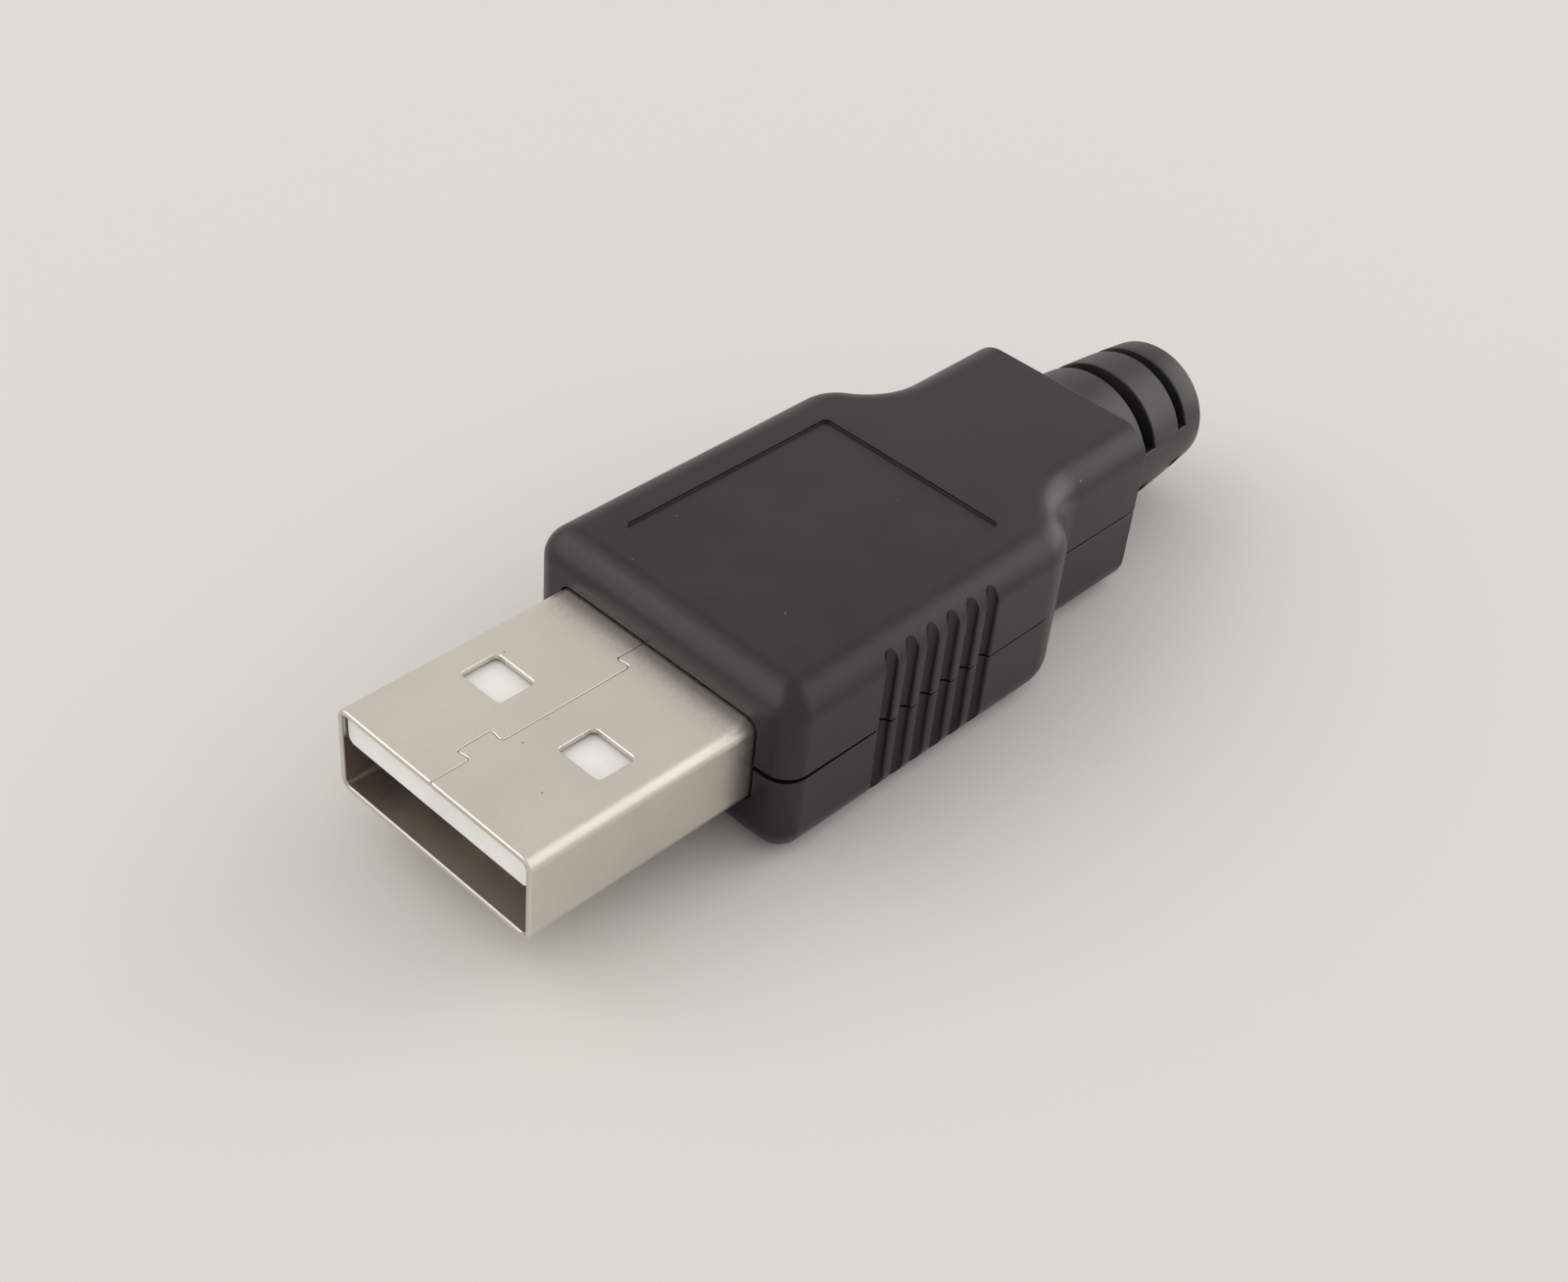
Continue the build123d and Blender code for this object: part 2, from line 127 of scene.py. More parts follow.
def power_setting(name, description, default):
    """A lamp's watts that the panel shows."""
    return FloatProperty(
        name=name, description=description, default=default, min=0.0, unit="POWER"
    )


def angle_setting(name, description, degrees):
    """An angle that the panel shows, given in degrees."""
    return FloatProperty(
        name=name, description=description, default=radians(degrees), subtype="ANGLE"
    )


def colour_setting(name, description, default):
    """A linear colour that the panel shows."""
    return FloatVectorProperty(
        name=name, description=description, default=default, size=3, min=0.0, max=1.0,
        subtype="COLOR",
    )


class CoverSizes(bpy.types.PropertyGroup):
    """Sizes of the two moulded cover halves."""

    edge_round: length_setting("Edge round", "Radius of the long outer edges", 1.6 * MM)
    corner_round: length_setting("Corner round", "Radius of the upright front corners", 1.3 * MM)
    heel_round: length_setting("Heel round", "Radius of the edges at the heel", 0.15 * MM)
    parting_round: length_setting("Parting round", "Radius along the parting line", 0.07 * MM)
    wall: length_setting("Wall", "Thickness of the side walls", 1.4 * MM)
    roof: length_setting("Roof", "Thickness of the broad walls", 1.2 * MM)
    body_length: length_setting("Body length", "Straight part of the body", 17.0 * MM)
    neck_step: length_setting("Neck step", "How far each side steps in to the neck", 2.5 * MM)
    neck_length: length_setting("Neck length", "Straight part of the neck", 5.23 * MM)
    shoulder_round: length_setting("Shoulder round", "Radius of the outer bend", 2.8 * MM)
    waist_round: length_setting("Waist round", "Radius of the inner bend", 3.6 * MM)
    seam_gap: length_setting("Seam gap", "Gap between the halves at the heel", 0.09 * MM)
    mouth_gape: length_setting("Mouth gape", "What the gap grows by at the mouth", 0.16 * MM)
    gape_length: length_setting("Gape length", "How far the wider gap runs", 7.0 * MM)
    mouth_fit: length_setting("Mouth fit", "Clearance round the metal shell", 0.08 * MM)
    throat_radius: length_setting("Throat radius", "Radius of the hole for the tail", 2.88 * MM)
    groove_count: count_setting("Grooves", "Grip grooves a side", 6)
    groove_spacing: length_setting("Groove spacing", "From groove to groove", 1.32 * MM)
    groove_radius: length_setting("Groove radius", "Radius of each hollow", 0.38 * MM)
    groove_depth: length_setting("Groove depth", "Depth of each hollow", 0.45 * MM)
    groove_setback: length_setting("Groove setback", "Mouth to the first groove", 6.16 * MM)
    groove_lip: length_setting("Groove lip", "Radius of the ribs' shoulders", 0.14 * MM)
    label_setback: length_setting("Label setback", "Mouth to the label field", 3.0 * MM)
    label_length: length_setting("Label length", "Length of the label field", 13.05 * MM)
    label_width: length_setting("Label width", "Width of the label field", 10.8 * MM)
    label_corner: length_setting("Label corner", "Corner radius of the label field", 0.35 * MM)
    label_depth: length_setting("Label depth", "Depth of the label field", 0.16 * MM)
    label_lip: length_setting("Label lip", "Radius round the label field", 0.03 * MM)
    rib: length_setting("Rib", "Thickness of the cross ribs", 0.8 * MM)
    shell_rib_setback: length_setting("Shell rib", "Mouth to the rib on the shell", 2.6 * MM)
    clamp_count: count_setting("Clamp ribs", "Ribs that clamp the cable", 2)
    clamp_setback: length_setting("Clamp setback", "Heel to the first cable clamp", 2.76 * MM)
    clamp_spacing: length_setting("Clamp spacing", "From clamp to clamp", 2.0 * MM)
    hook_count: count_setting("Hooks", "Snap hooks a side", 2)
    hook_gap: length_setting("Hook gap", "Shell's back end to the first hook", 1.1 * MM)
    hook_width: length_setting("Hook width", "Width of a snap hook", 1.6 * MM)
    hook_spacing: length_setting("Hook spacing", "From hook to hook", 3.0 * MM)
    hook_thickness: length_setting("Hook thickness", "Thickness of a snap hook", 0.7 * MM)
    hook_height: length_setting("Hook height", "How far it stands over the joint", 1.9 * MM)
    hook_barb: length_setting("Hook barb", "How far its barb stands out", 0.3 * MM)
    hook_barb_height: length_setting("Barb height", "Height of the barb", 0.72 * MM)
    hook_root: length_setting("Hook root", "Where it leaves the wall, under the joint", 0.3 * MM)


class ShellSizes(bpy.types.PropertyGroup):
    """Sizes of the folded metal shell."""

    width: length_setting("Width", "Outer width", 12.0 * MM)
    height: length_setting("Height", "Outer height", 4.5 * MM)
    wall: length_setting("Sheet", "Thickness of the sheet", 0.3 * MM)
    fold_round: length_setting("Fold round", "Outer radius of the folds", 0.6 * MM)
    rim_round: length_setting("Rim round", "Radius of the rim's edges", 0.09 * MM)
    window_setback: length_setting("Window setback", "Rim to the windows", 5.05 * MM)
    window_length: length_setting("Window length", "Along the plug", 2.0 * MM)
    window_width: length_setting("Window width", "Across the plug", 2.48 * MM)
    window_spacing: length_setting("Window spacing", "From window to window", 6.1 * MM)
    window_corner: length_setting("Window corner", "Corner radius", 0.25 * MM)
    window_round: length_setting("Window edge round", "Radius of their edges", 0.08 * MM)
    seam_gap: length_setting("Seam gap", "Gap along the seam", 0.02 * MM)
    seam_round: length_setting("Seam round", "Radius of the seam's edges", 0.06 * MM)
    seam_nose: length_setting("Seam nose", "Radius of its corners at the rim", 0.1 * MM)
    tab_count: count_setting("Seam tabs", "Tabs along the seam", 2)
    tab_setback: length_setting("Tab setback", "Rim to the first seam tab", 2.05 * MM)
    tab_spacing: length_setting("Tab spacing", "From seam tab to seam tab", 8.7 * MM)
    tab_length: length_setting("Tab length", "Length of a seam tab", 1.6 * MM)
    tab_depth: length_setting("Tab depth", "Reach of a seam tab", 0.76 * MM)
    tab_flare: length_setting("Tab flare", "How much a seam tab widens", 0.12 * MM)
    tab_bend: length_setting("Tab bend", "Radius of a seam tab's corners", 0.18 * MM)
    ear_height: length_setting("Ear height", "Height of the folded ears", 2.6 * MM)
    ear_reach: length_setting("Ear reach", "How far the ears stand out", 0.85 * MM)
    ear_root: length_setting("Ear root", "Length freed for each ear", 1.0 * MM)
    ear_bend: length_setting("Ear bend", "Inner radius of the ear's fold", 0.15 * MM)


class TailSizes(bpy.types.PropertyGroup):
    """Sizes of the cable tail."""

    bore_radius: length_setting("Bore radius", "Radius of the cable's hole", 2.0 * MM)
    root_radius: length_setting("Root radius", "Radius at the cover", 4.14 * MM)
    tip_radius: length_setting("Tip radius", "Radius at the free end", 3.36 * MM)
    rim_round: length_setting("Rim round", "Radius of the free end's edge", 0.35 * MM)
    fine_round: length_setting("Fine round", "Radius at the bore and the root", 0.12 * MM)
    reach: length_setting("Reach", "Length behind the cover", 8.5 * MM)
    fit: length_setting("Fit", "Gap to the cover", 0.08 * MM)
    throat_radius: length_setting("Throat radius", "Radius through the heel wall", 2.8 * MM)
    flange_length: length_setting("Flange length", "Flange inside the cover", 1.2 * MM)
    floor_radius: length_setting("Slot floor", "Radius at the floor of the slots", 2.65 * MM)
    lip_round: length_setting("Lip round", "Radius of the slots' edges", 0.09 * MM)


class PlugFinishes(bpy.types.PropertyGroup):
    """Colours of the plug's finishes."""

    cover: colour_setting("Cover", "Black moulded plastic", (0.0055, 0.0046, 0.0066))
    tail: colour_setting("Tail", "Black soft plastic", (0.0115, 0.0104, 0.0113))
    nickel: colour_setting("Nickel", "Plated shell", (0.725, 0.675, 0.60))
    # Inner nickel is painted shade: a darker, browner copy of the nickel for the shell's inside
    inner: colour_setting("Inner nickel", "Dull plating inside the shell", (0.50, 0.445, 0.42))
    core: colour_setting("Core", "White plastic", (0.85, 0.845, 0.825))
    contacts: colour_setting("Contacts", "Gold-plated brass", (0.83, 0.60, 0.26))


class StageSettings(bpy.types.PropertyGroup):
    """The floor, the lamps, the sky and the camera."""

    floor: colour_setting("Floor", "Pale floor", (0.68, 0.665, 0.647))
    floor_size: length_setting("Floor size", "Side of the square floor", 3.0)
    sky: FloatProperty(name="Sky", description="Strength of the even light", default=0.74)
    sky_colour: colour_setting("Sky colour", "Colour of the even light", (1.0, 0.985, 0.96))
    lamp_colour: colour_setting("Lamp colour", "Colour of the lamps", (1.0, 0.975, 0.94))
    lamp_distance: length_setting("Lamp distance", "About how far off the lamps are", 1.3)
    left_lamp: power_setting("Left lamp", "Its watts", 1.5)
    right_lamp: power_setting("Right lamp", "Its watts", 3.57)
    front_lamp: power_setting("Front lamp", "Its watts", 5.1)
    back_lamp: power_setting("Back lamp", "Its watts", 4.76)
    lens: FloatProperty(
        name="Lens", description="Focal length in millimetres", default=51.72, unit="CAMERA"
    )
    azimuth: angle_setting("Azimuth", "Side from which the camera looks", 40.348)
    elevation: angle_setting("Elevation", "Height from which it looks", 39.870)
    lean: angle_setting("Lean", "How far it is turned about its own axis", 5.961)
    rim_right: length_setting(
        "Rim right", "How far right of its axis it sees the shell's rim", -14.116 * MM, least=-1.0
    )
    rim_down: length_setting("Rim down", "How far below its axis", 7.281 * MM)
    rim_ahead: length_setting("Rim ahead", "How far ahead of it", 90.148 * MM)


def sizes_of(name):
    """The scene's settings with this name."""
    return getattr(bpy.context.scene, "plug_" + name)


class Skin:
    """Collects grids of points and flat fills, and welds them into one mesh."""

    def __init__(self):
        self.points = []
        self.faces = []
        self.count = 0

    def strip(self, grid, closed=False):
        """Quads between neighbouring points of a grid: points[i, j] joins i+1 and j+1."""
        rows, columns = grid.shape[:2]
        index = np.arange(rows * columns).reshape(rows, columns) + self.count
        if closed:
            index = np.vstack([index, index[:1]])
        quads = np.stack([index[:-1, :-1], index[1:, :-1], index[1:, 1:], index[:-1, 1:]], axis=-1)
        self.faces.extend(quads.reshape(-1, 4).tolist())
        self.points.append(grid.reshape(-1, 3))
        self.count += rows * columns

    def fill(self, loop):
        """One flat face on a closed loop of points."""
        loop = loop[np.linalg.norm(loop - np.roll(loop, 1, axis=0), axis=1) > WELD]
        self.faces.append(list(range(self.count, self.count + len(loop))))
        self.points.append(loop)
        self.count += len(loop)

    def prism(self, columns):
        """A closed block between two outlines: columns[i] holds the same point of both."""
        self.strip(columns, closed=True)
        self.fill(columns[:, 0])
        self.fill(columns[:, 1])

    def piece(self, name, material, slot, node):
        """The welded mesh as an object that stands for a CAD node."""
        mesh = bpy.data.meshes.new(name)
        mesh.from_pydata(np.concatenate(self.points), [], self.faces)
        work = bmesh.new()
        work.from_mesh(mesh)
        bmesh.ops.remove_doubles(work, verts=work.verts, dist=WELD)
        bmesh.ops.dissolve_degenerate(work, edges=work.edges, dist=WELD)
        bmesh.ops.recalc_face_normals(work, faces=work.faces)
        work.to_mesh(mesh)
        work.free()
        mesh.shade_smooth()
        mesh.set_sharp_from_angle(angle=radians(SHARP_ANGLE))
        mesh.materials.append(material)
        piece = bpy.data.objects.new(name, mesh)
        bpy.context.scene.collection.objects.link(piece)
        weighted = piece.modifiers.new("flat_stays_flat", "WEIGHTED_NORMAL")
        weighted.keep_sharp = True
        weighted.weight = FACE_WEIGHT
        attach(piece, "root")
        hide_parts(node)
        return piece


def rays(start, end, count):
    """Unit vectors (cos t, sin t) from one angle to another, in degrees."""
    turn = np.radians(np.linspace(start, end, count))
    return np.stack([np.cos(turn), np.sin(turn)], axis=1)


def at_station(x, section):
    """Points (y, z) of a cross-section, placed at station x."""
    return np.column_stack([np.full(len(section), x), section])


def raised(plan, heights):
    """Points (x, y) of a plan, each with its height."""
    return np.concatenate([plan, heights[..., None]], axis=-1)


def mirrored(points):
    """The same points on the other side of the middle plane."""
    return points * np.array([1.0, -1.0, 1.0])


def middle_of(points):
    """The points moved onto the middle plane."""
    return points * np.array([1.0, 0.0, 1.0])


def there_and_back(points):
    """A half loop from one point of the middle plane to another, closed by its mirror image."""
    return np.concatenate([points, mirrored(points[::-1])])


def rounded_rectangle(center, size, radius):
    """A rounded rectangle's points and outward normals.

    The loop starts at the middle of the +X side and turns towards +Y. The middle of the -X side
    is the point half way round. Each corner is a quarter circle round its own centre.
    """
    half = np.array(size) / 2
    loop = [np.array([[half[0], 0.0]])]
    normals = [np.array([[1.0, 0.0]])]
    for quarter, side in enumerate(((1, 1), (-1, 1), (-1, -1), (1, -1))):
        ray = rays(90 * quarter, 90 * quarter + 90, CORNER_STEPS)
        loop.append((half - radius) * np.array(side) + radius * ray)
        normals.append(ray)
        if quarter == 1:
            loop.append(np.array([[-half[0], 0.0]]))
            normals.append(np.array([[-1.0, 0.0]]))
    return np.concatenate(loop) + np.array(center), np.concatenate(normals)


def rounded_path(corners, radius, steps):
    """A polyline with rounded corners, as points and left-hand normals.

    Each corner is an arc tangent to its two runs. Its centre is on the bisector, and the tangent
    points are radius times tan(half the turn) from the corner.
    """
    corners = np.array(corners)
    points, normals = [corners[:1]], []
    for before, corner, after in zip(corners[:-2], corners[1:-1], corners[2:]):
        come = (corner - before) / np.linalg.norm(corner - before)
        leave = (after - corner) / np.linalg.norm(after - corner)
        turn = np.arctan2(come[0] * leave[1] - come[1] * leave[0], come @ leave)
        left = np.array([-come[1], come[0]])
        if not normals:
            normals.append(left[None])
        start = corner - come * radius * np.tan(abs(turn) / 2)
        angles = np.linspace(0, turn, steps)[:, None]
        ray = left * np.cos(angles) - come * np.sin(angles)
        points.append(start + np.sign(turn) * radius * (left - ray))
        normals.append(ray)
    points.append(corners[-1:])
    normals.append(normals[-1][-1:])
    return np.concatenate(points), np.concatenate(normals)


class CoverSide:
    """Stations along the +Y side of the cover's plan, from the heel to the middle of the front.

    The side is a straight neck, a waist arc, a shoulder arc, a straight wall with rounded grip
    grooves, and a rounded front corner. Each station has its place and normal on the plain wall,
    and its place and normal at the foot, which differ where a groove bites into the wall.
    """

    def __init__(self, sizes):
        self.sizes = sizes
        self.places, self.normals, self.feet, self.foot_normals, self.corner = [], [], [], [], []
        neck_y = HALF_WIDTH - sizes.neck_step
        shoulder, waist = sizes.shoulder_round, sizes.waist_round
        sweep = np.degrees(acos(1 - sizes.neck_step / (shoulder + waist)))
        out = np.array([[0.0, 1.0]])
        self.add(np.array([[HEEL_X + sizes.heel_round, neck_y]]), out)
        ray = rays(-90, -90 + sweep, BEND_STEPS)
        self.add(np.array([HEEL_X + sizes.neck_length, neck_y + waist]) + waist * ray, -ray)
        ray = rays(90 + sweep, 90, BEND_STEPS)
        centre = np.array([MOUTH_X - sizes.body_length, HALF_WIDTH - shoulder])
        self.add(centre + shoulder * ray, ray)
        for groove in reversed(range(sizes.groove_count)):
            middle = MOUTH_X - sizes.groove_setback - groove * sizes.groove_spacing
            feet, foot_normals = self.groove(middle)
            places = np.stack([feet[:, 0], np.full(len(feet), HALF_WIDTH)], axis=1)
            self.add(places, np.repeat(out, len(feet), axis=0), feet, foot_normals)
        ray = rays(90, 0, FRONT_STEPS)
        centre = np.array([MOUTH_X, HALF_WIDTH]) - sizes.corner_round
        self.add(centre + sizes.corner_round * ray, ray, corner=True)
        self.places, self.normals, self.feet, self.foot_normals, self.corner = (
            np.concatenate(each)
            for each in (self.places, self.normals, self.feet, self.foot_normals, self.corner)
        )

    def add(self, places, normals, feet=None, foot_normals=None, corner=False):
        """A run of stations, whose feet are their places unless they are given."""
        self.places.append(places)
        self.normals.append(normals)
        self.feet.append(places if feet is None else feet)
        self.foot_normals.append(normals if foot_normals is None else foot_normals)
        self.corner.append(np.full(len(places), corner))

    def groove(self, middle):
        """One groove's outline: a shoulder arc, a hollow arc and another shoulder arc.

        A shoulder's centre lies its own radius inside the wall and at the sum of both radii from
        the groove's axis, so the arcs are tangent.
        """
        sizes = self.sizes
        lip, radius = sizes.groove_lip, sizes.groove_radius
        off = radius - sizes.groove_depth
        aside = sqrt((radius + lip) ** 2 - (off + lip) ** 2)
        dip = np.degrees(np.arctan2(off + lip, aside))
        first, last = rays(90, dip, LIP_STEPS), rays(180 - dip, 90, LIP_STEPS)
        hollow = rays(180 + dip, 360 - dip, HOLLOW_STEPS)[1:-1]
        lip_y = HALF_WIDTH - lip
        points = [
            np.array([middle - aside, lip_y]) + lip * first,
            np.array([middle, HALF_WIDTH + off]) + radius * hollow,
            np.array([middle + aside, lip_y]) + lip * last,
        ]
        return np.concatenate(points), np.concatenate([first, -hollow, last])

    def drawn_in(self, inset):
        """The plain outline drawn in by inset, one column of insets per station.

        Walls move in along their normal. The front corner keeps both its walls' insets while its
        radius shrinks in step, so the edge round closes to a small ball corner.
        """
        sizes = self.sizes
        inset = np.asarray(inset)[..., None]
        plain = self.places[:, None] - self.normals[:, None] * inset
        small = BALL_SHARE * sizes.corner_round
        radius = small + (sizes.corner_round - small) * np.clip(1 - inset / sizes.edge_round, 0, 1)
        centre = np.array([MOUTH_X, HALF_WIDTH]) - inset - radius
        return np.where(self.corner[:, None, None], centre + radius * self.normals[:, None], plain)


class CoverHalf:
    """One half of the cover as a closed hollow wall, with its ribs and hooks sunk into it.

    Heights are measured from the parting plane: away from it is up, in both halves, and upward is
    1 for the upper half and -1 for the lower one. The outer wall is a column at each station of
    the plan. A small rolled edge is carried round the whole foot: the throat's arch, the heel's
    edge, the side and the mouth's arch. Flat faces are filled between them.
    """

    def __init__(self, sizes, upward):
        self.sizes, self.upward = sizes, upward
        self.skin = Skin()
        self.side = CoverSide(sizes)
        self.neck_y, self.wall_y = HALF_WIDTH - sizes.neck_step, HALF_WIDTH - sizes.wall
        self.roof_height = HALF_HEIGHT - sizes.roof
        # The heel's upright edge rolls from the heel to the side. Each point has its station,
        # its drop, which is how far it is inside the neck's side, and its way into the wall.
        turns = np.radians(np.linspace(90, 0, HEEL_STEPS))[:-1]
        self.heel_in = np.stack([np.sin(turns), -np.cos(turns), 0 * turns], axis=1)
        self.heel_x = HEEL_X + sizes.heel_round * (1 - np.sin(turns))
        self.drop = sizes.heel_round * (1 - np.cos(turns))
        hook_row = SHELL_LOW.x - sizes.hook_gap - sizes.hook_width / 2
        self.hooks = hook_row - sizes.hook_spacing * np.arange(sizes.hook_count)

        columns = self.outer_columns()
        self.arch, self.arch_up = self.mouth_arch()
        feet, rolled, throat_end = self.foot()
        heel_end = throat_end + len(turns)
        side_end = heel_end + len(self.side.feet)
        self.outer_wall(columns)
        self.inner_walls(feet, rolled, slice(throat_end, heel_end), slice(heel_end, side_end))
        self.ribs()
        if upward < 0:
            self.snap_hooks()
        self.flat_ends(columns, rolled[:, -1], throat_end, side_end)
        self.broad_face(columns)

    def placed(self, points):
        """Points given over the parting plane, at their place in the plug."""
        return points * np.array([1.0, 1.0, self.upward]) + np.array([0.0, 0.0, PARTING_Z])

    def both_sides(self, grid):
        """A grid of the +Y side, and its mirror image."""
        self.skin.strip(self.placed(grid))
        self.skin.strip(self.placed(mirrored(grid)))

    def fill(self, points):
        """A flat face across the middle plane, given by its +Y half."""
        self.skin.fill(self.placed(there_and_back(points)))

    def foot_height(self, x):
        """Half the gap between the halves, which grows evenly towards the mouth."""
        share = np.clip(1 - (MOUTH_X - x) / self.sizes.gape_length, 0, 1)
        return self.sizes.seam_gap / 2 + self.sizes.mouth_gape / 2 * share

    def outer_columns(self):
        """Points up the outer wall and over its edge round, from the heel to the middle in front.

        With the edge's radius r and the half's height H, a column climbs the wall and rolls over:
        inset = r * (1 - cos t), height = H - r + r * sin t. In a groove it starts deeper and meets
        the round where r * (1 - cos t) equals the groove's depth. The first columns roll round
        the heel's upright edge, and what they are drawn in by comes off their edge round too.
        """
        sizes, side = self.sizes, self.side
        heel_plan = np.stack([self.heel_x, self.neck_y - self.drop], axis=1)
        heel_feet = raised(heel_plan, self.foot_height(self.heel_x) + sizes.parting_round)
        climb = np.radians(np.linspace(0, 90, EDGE_STEPS))
        drop = self.drop[:, None]
        small_round = sizes.edge_round - drop
        heel_rounds = np.stack(
            np.broadcast_arrays(
                self.heel_x[:, None],
                self.neck_y - drop - small_round * (1 - np.cos(climb)),
                HALF_HEIGHT - drop - small_round * (1 - np.sin(climb)),
            ),
            axis=-1,
        )
        depth = np.einsum("ij,ij->i", side.places - side.feet, side.normals)
        start = np.arccos(1 - np.clip(depth, 0, None) / sizes.edge_round)[:, None]
        angles = start + (np.pi / 2 - start) * np.linspace(0, 1, EDGE_STEPS)
        rounds = raised(
            side.drawn_in(sizes.edge_round * (1 - np.cos(angles))),
            HALF_HEIGHT - sizes.edge_round * (1 - np.sin(angles)),
        )
        rounds[:, 0, :2] = side.feet
        feet = raised(side.feet, self.foot_height(side.feet[:, 0]) + sizes.parting_round)
        heel_columns = np.concatenate([heel_feet[:, None], heel_rounds], axis=1)
        columns = np.concatenate([feet[:, None], rounds], axis=1)
        return np.concatenate([heel_columns, columns, middle_of(columns[-1:])])

    def outer_wall(self, columns):
        """The outer wall with its edge round, the front's and the one across the heel."""
        self.both_sides(columns[:-1])
        self.both_sides(columns[-2:, 1:])
        across = columns[: len(self.heel_x) + 1, -1]
        heel_edge = np.stack([across, middle_of(across), mirrored(across)], axis=1)
        self.skin.strip(self.placed(heel_edge))

    def mouth_arch(self):
        """Half the opening round the shell, as points (y, z) and the way up from them.

        It is the shell's rounded section drawn out by the fit, from the foot to the middle.
        """
        sizes, shell = self.sizes, sizes_of("shell")
        high = np.array([shell.width / 2, self.upward * (SHELL_Z - PARTING_Z) + shell.height / 2])
        high = high + sizes.mouth_fit
        radius = shell.fold_round + sizes.mouth_fit
        ray = rays(0, 90, CORNER_STEPS)
        foot, top = [[high[0], self.foot_height(MOUTH_X)]], [[0.0, high[1]]]
        arch = np.concatenate([foot, high - radius + radius * ray, top])
        return arch, np.concatenate([[[1.0, 1.0]], ray, [[0.0, 1.0]]])

    def foot(self):
        """The foot's corner line, its rolled edge, and how many points the throat has.

        From the middle of the throat's arch it runs round the side to the middle of the mouth's.
        Each point has a way into the wall, i, and a way up from it, u. The rolled edge is
        point + r * (i + u) - r * (i * sin t + u * cos t).
        """
        sizes, side = self.sizes, self.side
        dip = np.degrees(np.arcsin(self.foot_height(HEEL_X) / sizes.throat_radius))
        throat_ray = rays(90, dip, THROAT_STEPS)
        throat_up = at_station(0.0, throat_ray)
        throat_up[-1] = (0, 1, 1)
        heel_plan = np.stack([self.heel_x, self.neck_y - self.drop], axis=1)
        side_in = raised(-side.foot_normals, np.zeros(len(side.feet)))
        runs = (
            (at_station(HEEL_X, sizes.throat_radius * throat_ray), (1, 0, 0), throat_up),
            (raised(heel_plan, self.foot_height(self.heel_x)), self.heel_in, (0, 0, 1)),
            (raised(side.feet, self.foot_height(side.feet[:, 0])), side_in, (0, 0, 1)),
            (at_station(MOUTH_X, self.arch), (-1, 0, 0), at_station(0.0, self.arch_up)),
        )
        feet, inward, up = (
            np.concatenate([np.broadcast_to(run[part], run[0].shape) for run in runs])
            for part in range(3)
        )
        roll = ROLL[None, :, None]
        middle = (feet + (inward + up) * sizes.parting_round)[:, None]
        turned = inward[:, None] * np.sin(roll) + up[:, None] * np.cos(roll)
        return feet, middle - sizes.parting_round * turned, len(throat_ray)

    def inner_plan(self):
        """The side's inner outline: drawn in by the wall, with its pockets let into it.

        They hold the shell's ears and, in the upper half, the hooks' barbs.
        """
        sizes = self.sizes
        fit, half_sheet = sizes.mouth_fit, sizes_of("shell").wall / 2
        pockets = [(SHELL_LOW.x + half_sheet, half_sheet + fit, SHELL_HIGH.y + fit)]
        if self.upward > 0:
            barb_y = self.wall_y + sizes.hook_barb + fit
            pockets += [(x, sizes.hook_width / 2 + fit, barb_y) for x in self.hooks]
        plan = self.side.drawn_in(np.full((len(self.side.places), 1), sizes.wall))[:, 0]
        for center_x, half_length, pocket_y in pockets:
            plan[np.abs(plan[:, 0] - center_x) < half_length + POCKET_SLACK, 1] = pocket_y
        return plan

    def inner_walls(self, feet, rolled, heel, sides):
        """The foot's flat, the inner walls and the roof, from the foot's corner line moved in."""
        sizes = self.sizes
        inner_heel = (HEEL_X + sizes.wall, self.neck_y - sizes.wall)
        inner = feet.copy()
        inner[: heel.start, 0] = HEEL_X + sizes.wall
        inner[heel, :2] = inner_heel
        inner[sides, :2] = self.inner_plan()
        inner[sides.start, :2] = inner_heel
        inner[sides.stop :, 0] = MOUTH_X - sizes.wall
        grid = np.concatenate([inner[:, None], rolled], axis=1)
        loop = np.concatenate([grid, mirrored(grid[-2:0:-1])])
        self.skin.strip(self.placed(loop), closed=True)

        top = inner[sides].copy()
        top[:, 2] = self.roof_height
        self.both_sides(np.stack([inner[sides], top], axis=1))
        self.fill(top)
        self.fill(np.concatenate([top[-1:], inner[sides.stop - 1 :]]))
        self.fill(np.concatenate([inner[: sides.start + 1], top[:1]]))

    def block(self, center_x, length, outline):
        """A closed block: one outline (y, z) at two stations."""
        ends = [at_station(center_x + half, outline) for half in (-length / 2, length / 2)]
        self.skin.prism(self.placed(np.stack(ends, axis=1)))

    def rib(self, center_x, half_span, opening):
        """A cross rib from wall to wall and up to the roof, round half an opening and its mirror."""
        foot_z = self.foot_height(center_x) + self.sizes.parting_round
        span, top = half_span + SUNK, self.roof_height + SUNK
        half = np.concatenate([opening[:-1], [[opening[-1, 0], foot_z], [span, foot_z], [span, top]]])
        outline = np.concatenate([half, half[:0:-1] * np.array([-1.0, 1.0])])
        self.block(center_x, self.sizes.rib, outline)

    def ribs(self):
        """One rib that seats the shell, and those that clamp the cable."""
        sizes = self.sizes
        self.rib(MOUTH_X - sizes.shell_rib_setback - sizes.rib / 2, self.wall_y, self.arch[::-1])
        cable = sizes_of("tail").bore_radius * rays(90, 0, CLAMP_STEPS)
        for clamp in range(sizes.clamp_count):
            clamp_x = HEEL_X + sizes.clamp_setback + sizes.rib / 2 + clamp * sizes.clamp_spacing
            self.rib(clamp_x, self.neck_y - sizes.wall, cable)

